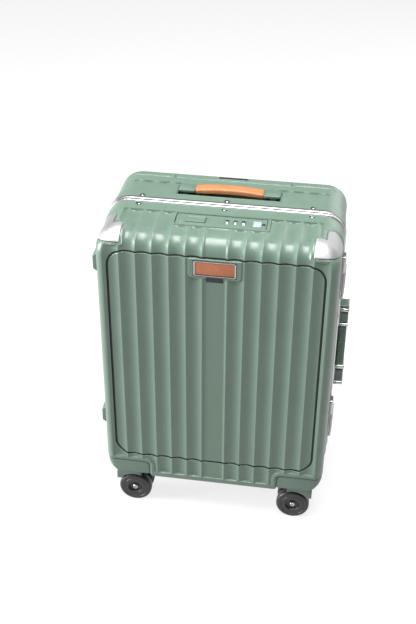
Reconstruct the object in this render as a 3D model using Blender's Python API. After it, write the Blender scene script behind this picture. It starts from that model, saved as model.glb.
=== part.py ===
"""Hard shell cabin suitcase on four twin-wheel casters, with an aluminium frame and a front door.

The case stands on its wheels. +X is its right side seen from the front, -Y its front and +Z up.
Every size is in metres. Positions are given about the middle of the case's frame, which is
shifted at the end so that the origin is the middle of the whole object's footprint.
"""

import math

import bmesh
import bpy
from mathutils import Matrix, Vector

GAP = 0.0003  # between pieces that meet
PLAY = 0.0004  # round pieces that slide or turn in a bore
BEYOND = 0.01  # how far a cutter reaches past the surface that it opens
FAR = 0.02  # and past a rounded corner

# The moulded halves
HALF_WIDTH = 0.1898
TOP = 0.555
BOTTOM = 0.062
DEPTH = {-1: 0.1180, 1: 0.1140}  # of the front (-1) and the rear (1) half
SKIN = 0.0061  # from the rib crests to the inside
TOP_CORNER = 0.036  # corner radii of the outline seen from the front
BOTTOM_CORNER = 0.033
TOP_ROUND = {-1: 0.030, 1: 0.021}  # between the face and the top
BOTTOM_ROUND = 0.012
SIDE_ROUND_X = 0.0136  # between the face and the sides, across and deep
SIDE_ROUND_Y = 0.022

# The ribs
BAND_HALF = 0.0196  # plain band in the middle
BAND_FLOOR = 0.0155
BAND_DEPTH = 0.0018
FLUTES = 6  # on each side of the band
FLUTE_PITCH = (HALF_WIDTH - SIDE_ROUND_X - BAND_HALF) / FLUTES
FLUTE_DEPTH = 0.0036
FLUTE_LOW = BOTTOM + 0.0155  # where they end above the lower lip
FLUTE_LOW_CORNER = BOTTOM + 0.0425  # and above the wheel housings
FLUTE_END = 0.0012  # over which an end rises
FLUTE_TOP_END = 0.085  # behind the face, on the front half's top
REAR_FLUTE_HIGH = TOP - 0.043  # the rear half's end below its top edge

# The frame
LIP_UP = 0.0017  # above the top and below the bottom
LIP_SIDE = 0.0035
LIP_HALF = 0.0075
FLANGE_REACH = 0.022
FLANGE_THICK = 0.002
FLANGE_SPACE = 0.0008  # to the shell's inside
SHELL_RIM = LIP_HALF + GAP

# The front door
DOOR_HALF = HALF_WIDTH - 0.0203
DOOR_LOW = BOTTOM + 0.0525
DOOR_HIGH = TOP - 0.0305
DOOR_CORNER = 0.028
SEAM = 0.0024
SEAL_IN = 0.008
SEAL_OUT = 0.0018
SEAL_THICK = 0.003
SEAL_REST = 0.0006  # behind the door and the shell
DOOR_PIVOT_IN = 0.001
DOOR_REACH = 0.006  # of its opening's cutter, behind the skin
CATCH = (0.0120, 0.0025)  # half width and thickness of the catch's plate
CATCH_Z = (DOOR_HIGH - 0.0270, DOOR_HIGH - 0.0110)
HOOK = (0.0080, 0.0140)  # half width and reach of its hook
HOOK_Z = (DOOR_HIGH - 0.0155, DOOR_HIGH - 0.0125)

# The badge on the door
BADGE = (0.0330, 0.0134)  # half sizes of its metal surround
BADGE_Z = DOOR_HIGH - 0.0181
BADGE_RIM = 0.0022
BADGE_POCKET = 0.0026
BADGE_PROUD = 0.0006
BADGE_SPACE = 0.0008  # round it in its pocket
PATCH_PROUD = 0.0002
PATCH_BED = 0.0014
BOSS = (0.0410, 0.0172)
BOSS_THICK = SKIN - 0.001
NOTCH = (0.0135, 0.0050)
NOTCH_Z = DOOR_HIGH - 0.0380
NOTCH_DEPTH = 0.0032

# The lock on the top
LOCK = (0.0720, 0.0166)
LOCK_Y = -DEPTH[-1] + 0.0662
LOCK_TOP = TOP - 0.0012
LOCK_THICK = 0.0175
LOCK_FLOOR = 0.0015
LOCK_ROOM = 0.03
BUTTON = (0.016, 0.009)
BUTTON_X = -0.040
BUTTON_TRAVEL = 0.0025
BUTTON_PROUD = 0.0016
BUTTON_EDGE = 0.001
DIALS = 3
DIAL_X = 0.009
DIAL_PITCH = 0.0130
DIAL_RADIUS = 0.0070
DIAL_THICK = 0.0050
DIAL_PROUD = 0.0012
KEY_X = 0.0664
KEY_RADIUS = 0.0032

# The metal corner guards
GUARD_X = HALF_WIDTH - 0.0408
GUARD_STEP_X = HALF_WIDTH - 0.0233
GUARD_BACK = 0.0370
GUARD_ARM_BACK = 0.0728
GUARD_LOW = 0.0150
GUARD_SLOPE = 0.27  # how much lower it reaches towards the back
GUARD_PROUD = 0.0004
GUARD_THICK = 0.0014

# Feet on the left side
FOOT_OUT = 0.0104
FOOT_HALF = 0.0195
FOOT_FLAT_HALF = 0.0120
FOOT_Z = (0.1720, TOP - 0.0725)
FOOT_Y = 0.0745
FOOT_WIDE = 0.026
FOOT_EDGE = 0.0015

# Hinges on the left side
HINGE_Z = (0.190, TOP - 0.125)
KNUCKLE = 0.0030
HINGE_AXIS_OUT = LIP_SIDE + KNUCKLE + 0.0005  # beyond the case's side
HINGE_PIN = 0.0013
HINGE_LENGTH = 0.048
LEAF_GAP = 0.0012  # each side of the closed joint
LEAF_INTO = 0.001  # into its knuckle
HINGE_CHEEK = 0.0020  # left behind the rear leaf's room

# Latches on the right side
LATCH_Z = (0.1625, TOP - 0.1020)
LATCH_HALF = 0.040
LATCH_BASE_Y = -0.027
LATCH_PIN_Y = -0.0215
LATCH_OVER = 0.012  # how far the lever reaches past the frame's joint
LATCH_OUT = 0.0078
LATCH_PIN_OUT = 0.0050
LATCH_KNUCKLE = 0.0022
LATCH_BARREL = 0.0016
LATCH_LEVER_TOP = 0.0090  # above the latch's middle, where its fixed block starts
LATCH_BLOCK_OUT = 0.0070
LATCH_EAR = 0.0055
LATCH_SPACE = 0.0006  # in front of the frame's lip
LATCH_LIFT = 0.0012  # of the lever off the lip
LATCH_INTO = 0.0010  # of the lever into its barrel

# The side handle
SIDE_HANDLE_Z = 0.2962
SIDE_HANDLE_HALF = 0.0829
SIDE_GRIP_HALF = 0.0400
SIDE_HANDLE_OUT = 0.0198
SIDE_HANDLE_Y = 0.0212
SIDE_HANDLE_WIDE = 0.026
SIDE_SLIDE = 0.0060  # room for the grip to pull out
SIDE_TONGUE = 0.010
SIDE_TONGUE_THICK = 0.0036
SIDE_TONGUE_IN = 0.0045  # narrower than the grip on each side
SIDE_TONGUE_OFF = 0.0024  # off the case's wall
SIDE_PLAY = 0.0006
SIDE_STOP = 0.0010
SIDE_GRIP_IN = 0.0010  # how much smaller the grip is than the brackets
SIDE_GRIP_OFF = 0.0012
SIDE_EDGE = 0.002

# The top handle and its pocket
POCKET = (0.0855, 0.0188)
POCKET_Y = 0.0438
POCKET_WALL = 0.0016
POCKET_DEPTH = 0.024
POCKET_STEP = 0.010
POCKET_STEP_X = 0.0580
POCKET_LIP = 0.0006  # of the tray under the top
BAR_HALF = 0.0830
BAR_WIDE = 0.0220
BAR_Y = 0.0488
BAR_PROUD = 0.0025
BAR_THICK = 0.0050
GRIP_HALF = 0.0555
GRIP_WIDE = 0.0206
GRIP_ARCH = 0.0040
GRIP_THICK = 0.0085
BAR_LEG_X = 0.0720
BAR_EDGE = 0.0012
CORE_HALF = 0.0060  # half width of the bar's core and legs
CORE_Z = (0.0040, 0.0015)  # below the bar's top
CORE_INTO = 0.002
LEG_HALF = 0.0050
LEG_DEEP = 0.022
LEG_INTO = 0.002
LEG_PLAY = 0.0006
LEG_SLOT_DEEP = 0.04
GRIP_RISE = 0.0010  # of the leather above the bar's ends
GRIP_SAG = 0.4  # how much of its arch the underside follows
GRIP_CHAMFER = 0.003
GRIP_STEPS = 8

# The telescopic handle
POLE_X = 0.0720
POLE_Y = DEPTH[1] - 0.0165
POLE_LOW = 0.110
SLEEVE = (0.0110, 0.0068)  # half sizes of the outer tube
TUBE_WALL = 0.0010
TUBE_PLAY = 0.0004
TROLLEY_HALF = 0.0960
TROLLEY_CUT = (DEPTH[1] - 0.0320, TOP - 0.0250)  # where the grip's cut-out starts, in depth and height
TROLLEY_WALL = 0.0022
TROLLEY_PUSH_HALF = 0.0235
TROLLEY_PUSH_Y = (DEPTH[1] - 0.0225, DEPTH[1] - 0.0105)
TROLLEY_PUSH_DEEP = 0.0060
TROLLEY_PUSH_TRAVEL = 0.0030
TROLLEY_PUSH_PLAY = 0.0006
TROLLEY_PUSH_DIP = 0.0004  # under the grip's top
TROLLEY_BEYOND = 0.03
STAGE_UP = 0.0040  # of the stage's foot above the sleeve's
STAGE_RISE = 0.0010  # of its head into the bezel
POLE_UP = 0.0080
POLE_INTO = 0.004  # the grip

# The casters
CASTER_X = HALF_WIDTH - 0.0338
CASTER_IN = 0.0304  # behind the face
HOUSING_X = HALF_WIDTH - 0.0783
HOUSING_Y = 0.049
HOUSING_HIGH = BOTTOM + 0.0365
HOUSING_LOW = BOTTOM + 0.0080
HOUSING_WALL = 0.0035
WHEEL_RADIUS = 0.0290
WHEEL_Z = 0.0270  # of the axle
WHEEL_WIDE = 0.0165
WHEEL_TRAIL = 0.0145
WHEEL_GAP = 0.0090
TYRE_SHOULDER = ((0.0045, 0.0), (0.0012, 0.0016), (0.0, 0.0050))  # below the tread, and in
HUB_RADIUS = (0.0125, 0.0105)  # where the outer face's dish starts and ends
HUB_DISH = 0.0045
WHEEL_SIDES = 22
FORK_OUT = 0.0180
FORK_IN = 0.0260
FORK_LOW = BOTTOM - 0.0160
FORK_CORNER = 0.009
FORK_EDGE = 0.0015
FORK_SPACE = 0.0015  # under its housing
ARCH_SPACE = 0.0020  # round the tyre
WEB_SPACE = 0.0012  # beside the wheels
WEB_RADIUS = 0.0205
WEB_INTO = 0.0001
AXLE_IN = 0.0035  # from the wheels' outer faces
AXLE = 0.0030
STEM = 0.0060
STEM_Z = (FORK_LOW + 0.014, HOUSING_LOW + 0.014)

# The linings
LINING = 0.0015
LINING_SPACE = 0.0030
LINING_LOW = BOTTOM + 0.0395
LINING_HIGH = TOP - 0.0270
LINING_RIM = {-1: 0.0140, 1: 0.0240}
LINING_BACK = {-1: DEPTH[-1] - 0.0140, 1: DEPTH[1] - 0.0350}
LINING_CORNERS = (0.020, 0.030)

FACE_BOTTOM = BOTTOM + BOTTOM_ROUND
DOOR_FACE = -DEPTH[-1]
ORIGIN_SHIFT = (
    -(SIDE_HANDLE_OUT - FOOT_OUT) / 2,
    (DEPTH[-1] - DEPTH[1] + BADGE_PROUD) / 2,
    WHEEL_RADIUS - WHEEL_Z,
)


def clear_scene():
    for thing in list(bpy.data.objects):
        bpy.data.objects.remove(thing)


def make_material(name, colour, roughness, metallic=0.0):
    material = bpy.data.materials.new(name)
    material.use_nodes = True
    shader = material.node_tree.nodes["Principled BSDF"]
    shader.inputs["Base Color"].default_value = (*colour, 1.0)
    shader.inputs["Roughness"].default_value = roughness
    shader.inputs["Metallic"].default_value = metallic
    return material


clear_scene()
GREEN = make_material("sage_shell", (0.23, 0.33, 0.26), 0.45)
SILVER = make_material("aluminium", (0.80, 0.80, 0.80), 0.35, 1.0)
LEATHER = make_material("tan_leather", (0.55, 0.22, 0.08), 0.55)
BLACK = make_material("black_rubber", (0.02, 0.02, 0.02), 0.6)
STEEL = make_material("steel", (0.60, 0.60, 0.62), 0.3, 1.0)
FABRIC = make_material("lining_fabric", (0.10, 0.11, 0.11), 0.9)

CASE = bpy.data.objects.new("case_centre", None)
CASE.location = ORIGIN_SHIFT
bpy.context.scene.collection.objects.link(CASE)


def add_object(name, bm, material, smooth=True):
    """A named object from a bmesh, under the case's centre."""
    bmesh.ops.remove_doubles(bm, verts=bm.verts, dist=1e-6)
    bmesh.ops.recalc_face_normals(bm, faces=bm.faces)
    mesh = bpy.data.meshes.new(name)
    bm.to_mesh(mesh)
    bm.free()
    mesh.materials.append(material)
    if smooth:
        mesh.shade_smooth()
        mesh.set_sharp_from_angle(angle=math.radians(35))
    thing = bpy.data.objects.new(name, mesh)
    thing.parent = CASE
    bpy.context.scene.collection.objects.link(thing)
    return thing


def combine(thing, tool, operation="DIFFERENCE"):
    """A Boolean with a tool that isn't itself shown."""
    modifier = thing.modifiers.new(operation.lower(), "BOOLEAN")
    modifier.operation = operation
    modifier.object = tool
    modifier.solver = "EXACT"
    tool.hide_render = True
    tool.display_type = "WIRE"
    return thing


def add_box(name, low, high, material=GREEN, bevel=0.0, segments=2):
    bm = bmesh.new()
    middle = (Vector(low) + Vector(high)) / 2
    size = Vector(high) - Vector(low)
    place = Matrix.Translation(middle) @ Matrix.Diagonal((*size, 1.0))
    bmesh.ops.create_cube(bm, size=1.0, matrix=place)
    thing = add_object(name, bm, material)
    if bevel:
        modifier = thing.modifiers.new("bevel", "BEVEL")
        modifier.width = bevel
        modifier.segments = segments
    return thing


def add_rod(name, start, end, radius, material=STEEL, sides=20, bore=0.0):
    """A round bar, or a tube if it has a bore."""
    start, end = Vector(start), Vector(end)
    along = (end - start).normalized()
    turn = Vector((0, 0, 1)).rotation_difference(along).to_matrix().to_4x4()
    bm = bmesh.new()
    rings = []
    for r in [radius, bore] if bore else [radius]:
        for z in (0.0, (end - start).length):
            ring = []
            for i in range(sides):
                a = 2 * math.pi * i / sides
                ring.append(bm.verts.new((r * math.cos(a), r * math.sin(a), z)))
            rings.append(ring)
    pairs = [(0, 1), (1, 3), (3, 2), (2, 0)] if bore else [(0, 1)]
    for a, b in pairs:
        for i in range(sides):
            j = (i + 1) % sides
            bm.faces.new((rings[a][i], rings[a][j], rings[b][j], rings[b][i]))
    if not bore:
        bm.faces.new(rings[0])
        bm.faces.new(rings[1])
    bmesh.ops.transform(bm, matrix=Matrix.Translation(start) @ turn, verts=bm.verts)
    return add_object(name, bm, material)


def outline(half, low, high, low_radius, high_radius, steps=6):
    """A rounded rectangle as (x, z) points, anticlockwise from the lower right."""
    points = []
    corners = (
        (half - low_radius, low + low_radius, low_radius, -90),
        (half - high_radius, high - high_radius, high_radius, 0),
        (-half + high_radius, high - high_radius, high_radius, 90),
        (-half + low_radius, low + low_radius, low_radius, 180),
    )
    for x, z, radius, begin in corners:
        for i in range(steps + 1):
            a = math.radians(begin + 90 * i / steps)
            points.append((x + radius * math.cos(a), z + radius * math.sin(a)))
    return points


def add_prism(name, points, low_y, high_y, material=GREEN):
    """An outline of (x, z) points carried from low_y to high_y."""
    bm = bmesh.new()
    ends = [[bm.verts.new((x, y, z)) for x, z in points] for y in (low_y, high_y)]
    count = len(points)
    for i in range(count):
        j = (i + 1) % count
        bm.faces.new((ends[0][i], ends[0][j], ends[1][j], ends[1][i]))
    for end in ends:
        bm.faces.new(end)
    return add_object(name, bm, material)


def add_ring(name, profile, path, side, material):
    """A closed profile of (sideways, up, depth) points carried round a rounded outline.

    path(sideways, up) gives the outline that lies that far outside the piece's own.
    """
    bm = bmesh.new()
    loops = []
    for sideways, up, depth in profile:
        loops.append([bm.verts.new((x, side * depth, z)) for x, z in path(sideways, up)])
    for a, first in enumerate(loops):
        second = loops[(a + 1) % len(loops)]
        for i in range(len(first)):
            j = (i + 1) % len(first)
            bm.faces.new((first[i], first[j], second[j], second[i]))
    return add_object(name, bm, material)


def case_outline(sideways, up):
    radii = (BOTTOM_CORNER + up, TOP_CORNER + up)
    return outline(HALF_WIDTH + sideways, BOTTOM - up, TOP + up, *radii)


def door_outline(sideways, up):
    radius = DOOR_CORNER + up
    return outline(DOOR_HALF + sideways, DOOR_LOW - up, DOOR_HIGH + up, radius, radius)


def rib_depth(x):
    """How far the surface lies under the crests at this place across the case."""
    x = abs(x)
    if x <= BAND_HALF:
        return BAND_DEPTH * min(1.0, (BAND_HALF - x) / (BAND_HALF - BAND_FLOOR))
    share = ((x - BAND_HALF) / FLUTE_PITCH) % 1.0
    if x >= BAND_HALF + FLUTES * FLUTE_PITCH - 1e-7 or min(share, 1 - share) < 1e-6:
        return 0.0
    return FLUTE_DEPTH * 4 * share * (1 - share)


def flute_of(x):
    return int((abs(x) - BAND_HALF + 1e-7) / FLUTE_PITCH) if abs(x) > BAND_HALF else -1


def rounding_left(x, radius, grow):
    """1 up to where a rounding of this radius starts, falling to 0 at the grown side."""
    share = (x - (HALF_WIDTH - radius)) / (radius + grow)
    return math.sqrt(max(0.0, 1 - min(1.0, max(0.0, share)) ** 2))


def columns(ribbed, grow):
    """Places across the right half, from the middle to the side."""
    start = HALF_WIDTH - SIDE_ROUND_X
    reach = SIDE_ROUND_X + grow
    rounding = [start + reach * math.sin(math.radians(a)) for a in (25, 50, 72, 90)]
    if not ribbed:
        corner = HALF_WIDTH - TOP_CORNER
        between = [corner + (start - corner) * share for share in (0.0, 0.3, 0.55, 0.8, 1.0)]
        return [0.0, *between, *rounding]
    found = [0.0, BAND_FLOOR, BAND_HALF]
    for flute in range(FLUTES):
        first = BAND_HALF + flute * FLUTE_PITCH
        found += [first + FLUTE_PITCH * share for share in (1 / 3, 2 / 3, 1.0)]
    return found + rounding


def stations(side, rim, ribbed):
    """Rows along the section: (part of the section, share along it, how many flutes are cut)."""
    low, high = FACE_BOTTOM, TOP - TOP_ROUND[side]
    rows = [("bottom", 0.0, 0), ("bottom", 1.0, 0)]
    rows += [("bottom_round", share, 0) for share in (0.33, 0.67, 1.0)]
    over_top = FLUTES - 1 if ribbed and side == -1 else 0
    if ribbed:
        middle_flutes = int((HOUSING_X - BAND_HALF) / FLUTE_PITCH)
        end = high if side == -1 else REAR_FLUTE_HIGH
        levels = (
            (FLUTE_LOW, 0),
            (FLUTE_LOW + FLUTE_END, middle_flutes),
            (FLUTE_LOW_CORNER, middle_flutes),
            (FLUTE_LOW_CORNER + FLUTE_END, FLUTES),
            (end - FLUTE_END, FLUTES),
            (end, over_top),
        )
        rows += [("face", (z - low) / (high - low), cut) for z, cut in levels]
    if rows[-1][:2] != ("face", 1.0):
        rows += [("face", 1.0, 0)]
    rows += [("top_round", share, over_top) for share in (0.2, 0.4, 0.6, 0.8, 1.0)]
    if over_top:
        length = DEPTH[side] - TOP_ROUND[side] - rim
        end = (FLUTE_TOP_END - TOP_ROUND[side]) / length
        rows += [("top", end, over_top), ("top", end + FLUTE_END / length, 0)]
    return rows + [("top", 1.0, 0)]


def section_point(side, x, row, rim, grow):
    """(depth, height) on the section at x, with the surface moved out by grow and in by the ribs."""
    part, share, cut = row
    ax = abs(x)
    keep = rounding_left(ax, SIDE_ROUND_X, grow)
    face = DEPTH[side] + grow - (SIDE_ROUND_Y + grow) * (1 - keep)
    top_in = (TOP_CORNER + grow) * (1 - rounding_left(ax, TOP_CORNER, grow))
    low_in = (BOTTOM_CORNER + grow) * (1 - rounding_left(ax, BOTTOM_CORNER, grow))
    top, bottom = TOP + grow - top_in, BOTTOM - grow + low_in
    top_r, low_r = (TOP_ROUND[side] + grow) * keep, (BOTTOM_ROUND + grow) * keep
    inward = rib_depth(ax) if cut and flute_of(ax) < cut else 0.0
    if part == "bottom":
        return rim + (face - low_r - rim) * share, bottom
    if part == "bottom_round":
        a = math.radians(90 * share)
        return face - low_r * (1 - math.sin(a)), bottom + low_r * (1 - math.cos(a))
    if part == "face":
        return face - inward, bottom + low_r + (top - top_r - bottom - low_r) * share
    if part == "top_round":
        a = math.radians(90 * share)
        centre_depth, centre_z = face - top_r, top - top_r
        radius = top_r - inward
        return centre_depth + radius * math.cos(a), centre_z + radius * math.sin(a)
    return face - top_r + (rim - face + top_r) * share, top - inward


def add_half(name, side, grow=0.0, rim=SHELL_RIM, ribbed=False, material=GREEN):
    """One half of the case as a closed solid, front (side -1) or rear (side 1).

    Sections stand across the width, and each runs from the rim under the bottom, up the face
    and back along the top to the rim.
    """
    right = columns(ribbed, grow)
    across = [-x for x in reversed(right[1:])] + right
    rows = stations(side, rim, ribbed)
    bm = bmesh.new()
    grid = []
    for x in across:
        line = []
        for row in rows:
            depth, z = section_point(side, x, row, rim, grow)
            line.append(bm.verts.new((x, side * depth, z)))
        grid.append(line)
    for a, b in zip(grid, grid[1:]):
        for i in range(len(rows) - 1):
            bm.faces.new((a[i], a[i + 1], b[i + 1], b[i]))
    bm.faces.new([line[0] for line in grid] + [line[-1] for line in reversed(grid)])
    for line in (grid[0], grid[-1]):
        bm.faces.new(line)
    bmesh.ops.dissolve_degenerate(bm, dist=1e-6, edges=bm.edges)
    return add_object(name, bm, material)


def corner_prism(name, side, margin):
    """The stepped region of a metal corner guard, seen from above, carried through the corner."""
    front = DEPTH[-1] + FAR
    edge = HALF_WIDTH + FAR
    back = DEPTH[-1] - GUARD_BACK - margin
    arm_back = DEPTH[-1] - GUARD_ARM_BACK - margin
    plan = [
        (GUARD_X - margin, front),
        (edge, front),
        (edge, arm_back),
        (GUARD_STEP_X - margin, arm_back),
        (GUARD_STEP_X - margin, back),
        (GUARD_X - margin, back),
    ]
    bm = bmesh.new()
    low = TOP - GUARD_LOW - margin
    ends = [[], []]
    for x, depth in plan:
        slope = (DEPTH[-1] - depth) * GUARD_SLOPE
        ends[0].append(bm.verts.new((side * x, -depth, low - slope)))
        ends[1].append(bm.verts.new((side * x, -depth, TOP + FAR)))
    for i in range(len(plan)):
        j = (i + 1) % len(plan)
        bm.faces.new((ends[0][i], ends[0][j], ends[1][j], ends[1][i]))
    for end in ends:
        bm.faces.new(end)
    return add_object(name, bm, SILVER)


def make_guards(front):
    inner_shell = add_half("guard_inside", -1, grow=GUARD_PROUD - GUARD_THICK, rim=-BEYOND)
    for side, word in ((-1, "left"), (1, "right")):
        guard = add_half(f"corner_guard_{word}", -1, grow=GUARD_PROUD, rim=0.0, material=SILVER)
        combine(guard, corner_prism(f"guard_region_{word}", side, 0.0), "INTERSECT")
        combine(guard, inner_shell)
        seat = corner_prism(f"guard_seat_{word}", side, GAP)
        inside = GUARD_PROUD - GUARD_THICK - GAP
        core = add_half(f"guard_core_{word}", -1, grow=inside, rim=-BEYOND)
        combine(seat, core)
        combine(front, seat)


def housing_block(name, x_side, y_side, margin, low, high):
    x0, x1 = HOUSING_X - margin, HALF_WIDTH + FAR
    y0, y1 = HOUSING_Y - margin, DEPTH[-1] + FAR
    xs, ys = sorted((x_side * x0, x_side * x1)), sorted((y_side * y0, y_side * y1))
    return add_box(name, (xs[0], ys[0], low), (xs[1], ys[1], high))


def make_caster_housings(shells):
    for y_side, place in ((-1, "front"), (1, "rear")):
        for x_side, hand in ((-1, "left"), (1, "right")):
            word = f"{place}_{hand}"
            seat = housing_block(f"housing_seat_{word}", x_side, y_side, GAP, 0.0, HOUSING_HIGH + GAP)
            combine(shells[y_side], seat)
            housing = add_half(f"caster_housing_{word}", y_side, rim=0.0)
            block = housing_block(
                f"housing_region_{word}", x_side, y_side, 0.0, HOUSING_LOW, HOUSING_HIGH
            )
            combine(housing, block, "INTERSECT")
            inner = add_half(f"housing_core_{word}", y_side, grow=-HOUSING_WALL, rim=0.0)
            room = housing_block(
                f"housing_room_{word}",
                x_side,
                y_side,
                -HOUSING_WALL,
                HOUSING_LOW + HOUSING_WALL,
                HOUSING_HIGH + BEYOND,
            )
            combine(room, inner, "INTERSECT")
            combine(housing, room)
            x, y = x_side * CASTER_X, y_side * (DEPTH[y_side] - CASTER_IN)
            bore = add_rod(
                f"housing_bore_{word}",
                (x, y, HOUSING_LOW - BEYOND),
                (x, y, HOUSING_HIGH),
                STEM + PLAY,
            )
            combine(housing, bore)


def make_shells():
    """The two moulded halves, and the door cut from the front one."""
    shells = {}
    for side, word in ((-1, "front"), (1, "rear")):
        shell = add_half(f"{word}_shell", side, ribbed=True)
        combine(shell, add_half(f"{word}_hollow", side, grow=-SKIN, rim=-FAR))
        shells[side] = shell
    near, far = DOOR_FACE - BEYOND, DOOR_FACE + SKIN + DOOR_REACH
    opening = add_prism("door_opening", door_outline(SEAM / 2, SEAM / 2), near, far)
    combine(shells[-1], opening)
    return shells


def make_door():
    door = add_half("door_panel", -1, ribbed=True)
    outer = door_outline(-SEAM / 2, -SEAM / 2)
    region = add_prism("door_region", outer, DOOR_FACE - BEYOND, DOOR_FACE + SKIN)
    combine(door, region, "INTERSECT")
    boss = add_box(
        "badge_boss",
        (-BOSS[0], DOOR_FACE, BADGE_Z - BOSS[1]),
        (BOSS[0], DOOR_FACE + BOSS_THICK, DOOR_HIGH - SEAM),
    )
    combine(door, boss, "UNION")
    x, z = BADGE[0] + BADGE_SPACE, BADGE[1] + BADGE_SPACE
    pocket = add_box(
        "badge_pocket",
        (-x, DOOR_FACE - BEYOND, BADGE_Z - z),
        (x, DOOR_FACE + BADGE_POCKET, BADGE_Z + z),
    )
    combine(door, pocket)
    notch = add_box(
        "finger_notch",
        (-NOTCH[0], DOOR_FACE - BEYOND, NOTCH_Z - NOTCH[1]),
        (NOTCH[0], DOOR_FACE + NOTCH_DEPTH, NOTCH_Z + NOTCH[1]),
    )
    combine(door, notch)


def make_badge():
    face = DOOR_FACE
    back = face + BADGE_POCKET - GAP
    frame = add_box(
        "badge_frame",
        (-BADGE[0], face - BADGE_PROUD, BADGE_Z - BADGE[1]),
        (BADGE[0], back, BADGE_Z + BADGE[1]),
        SILVER,
    )
    inner = (BADGE[0] - BADGE_RIM, BADGE[1] - BADGE_RIM)
    well = add_box(
        "badge_well",
        (-inner[0], face - BEYOND, BADGE_Z - inner[1]),
        (inner[0], face + PATCH_BED, BADGE_Z + inner[1]),
    )
    combine(frame, well)
    add_box(
        "badge_leather",
        (-inner[0] + GAP, face - PATCH_PROUD, BADGE_Z - inner[1] + GAP),
        (inner[0] - GAP, face + PATCH_BED - GAP, BADGE_Z + inner[1] - GAP),
        LEATHER,
    )


def make_door_fittings():
    seal_face = DEPTH[-1] - SKIN - SEAL_REST
    profile = (
        (SEAL_OUT, SEAL_OUT, seal_face),
        (SEAL_OUT, SEAL_OUT, seal_face - SEAL_THICK),
        (-SEAL_IN, -SEAL_IN, seal_face - SEAL_THICK),
        (-SEAL_IN, -SEAL_IN, seal_face),
    )
    add_ring("door_seal", profile, door_outline, -1, BLACK)
    face = DOOR_FACE + SKIN + GAP
    half, thick = CATCH
    catch = add_box("door_catch", (-half, face, CATCH_Z[0]), (half, face + thick, CATCH_Z[1]), STEEL)
    half, reach = HOOK
    hook = add_box("catch_hook", (-half, face + thick / 2, HOOK_Z[0]), (half, face + reach, HOOK_Z[1]))
    combine(catch, hook, "UNION")


def make_frames():
    for side, word in ((-1, "front"), (1, "rear")):
        inside = -SKIN - FLANGE_SPACE
        inner = inside - FLANGE_THICK
        profile = (
            (LIP_SIDE, LIP_UP, GAP),
            (LIP_SIDE, LIP_UP, LIP_HALF),
            (inside, inside, LIP_HALF),
            (inside, inside, FLANGE_REACH),
            (inner, inner, FLANGE_REACH),
            (inner, inner, GAP),
        )
        add_ring(f"{word}_frame", profile, case_outline, side, SILVER)


def make_feet():
    for side, word in ((-1, "front"), (1, "rear")):
        for z, level in zip(FOOT_Z, ("lower", "upper")):
            wall = -HALF_WIDTH - GAP
            tip = -HALF_WIDTH - FOOT_OUT
            points = [
                (wall, z - FOOT_HALF),
                (wall, z + FOOT_HALF),
                (tip, z + FOOT_FLAT_HALF),
                (tip, z - FOOT_FLAT_HALF),
            ]
            middle = side * FOOT_Y
            foot = add_prism(
                f"side_foot_{word}_{level}", points, middle - FOOT_WIDE / 2, middle + FOOT_WIDE / 2
            )
            modifier = foot.modifiers.new("bevel", "BEVEL")
            modifier.width = FOOT_EDGE


def make_hinges():
    axis_x = -HALF_WIDTH - HINGE_AXIS_OUT
    plate_x = -HALF_WIDTH - LIP_SIDE - GAP
    part = HINGE_LENGTH / 3
    for z, level in zip(HINGE_Z, ("lower", "upper")):
        low = z - HINGE_LENGTH / 2
        pin = add_rod(
            f"hinge_rear_{level}",
            (axis_x, 0, low),
            (axis_x, 0, low + HINGE_LENGTH),
            HINGE_PIN,
            SILVER,
            12,
        )
        middle = add_rod(
            f"hinge_middle_{level}",
            (axis_x, 0, low + part + GAP),
            (axis_x, 0, low + 2 * part - GAP),
            KNUCKLE,
            sides=16,
        )
        combine(pin, middle, "UNION")
        leaf = add_box(
            f"hinge_rear_leaf_{level}",
            (axis_x - LEAF_INTO, LEAF_GAP, low + part + GAP),
            (plate_x, LIP_HALF, low + 2 * part - GAP),
        )
        combine(pin, leaf, "UNION")
        front = add_box(
            f"hinge_front_{level}",
            (axis_x - LEAF_INTO, -LIP_HALF, low),
            (plate_x, -LEAF_GAP, low + HINGE_LENGTH),
            SILVER,
        )
        barrel = add_rod(
            f"hinge_barrel_{level}",
            (axis_x, 0, low),
            (axis_x, 0, low + HINGE_LENGTH),
            KNUCKLE,
            sides=16,
        )
        combine(front, barrel, "UNION")
        bore = add_rod(
            f"hinge_bore_{level}",
            (axis_x, 0, low - BEYOND),
            (axis_x, 0, low + HINGE_LENGTH + BEYOND),
            HINGE_PIN + GAP,
            sides=12,
        )
        combine(front, bore)
        room = add_box(
            f"hinge_room_{level}",
            (axis_x - BEYOND, -LIP_HALF + HINGE_CHEEK, low + part),
            (plate_x + BEYOND, BEYOND, low + 2 * part),
        )
        combine(front, room)


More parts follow.
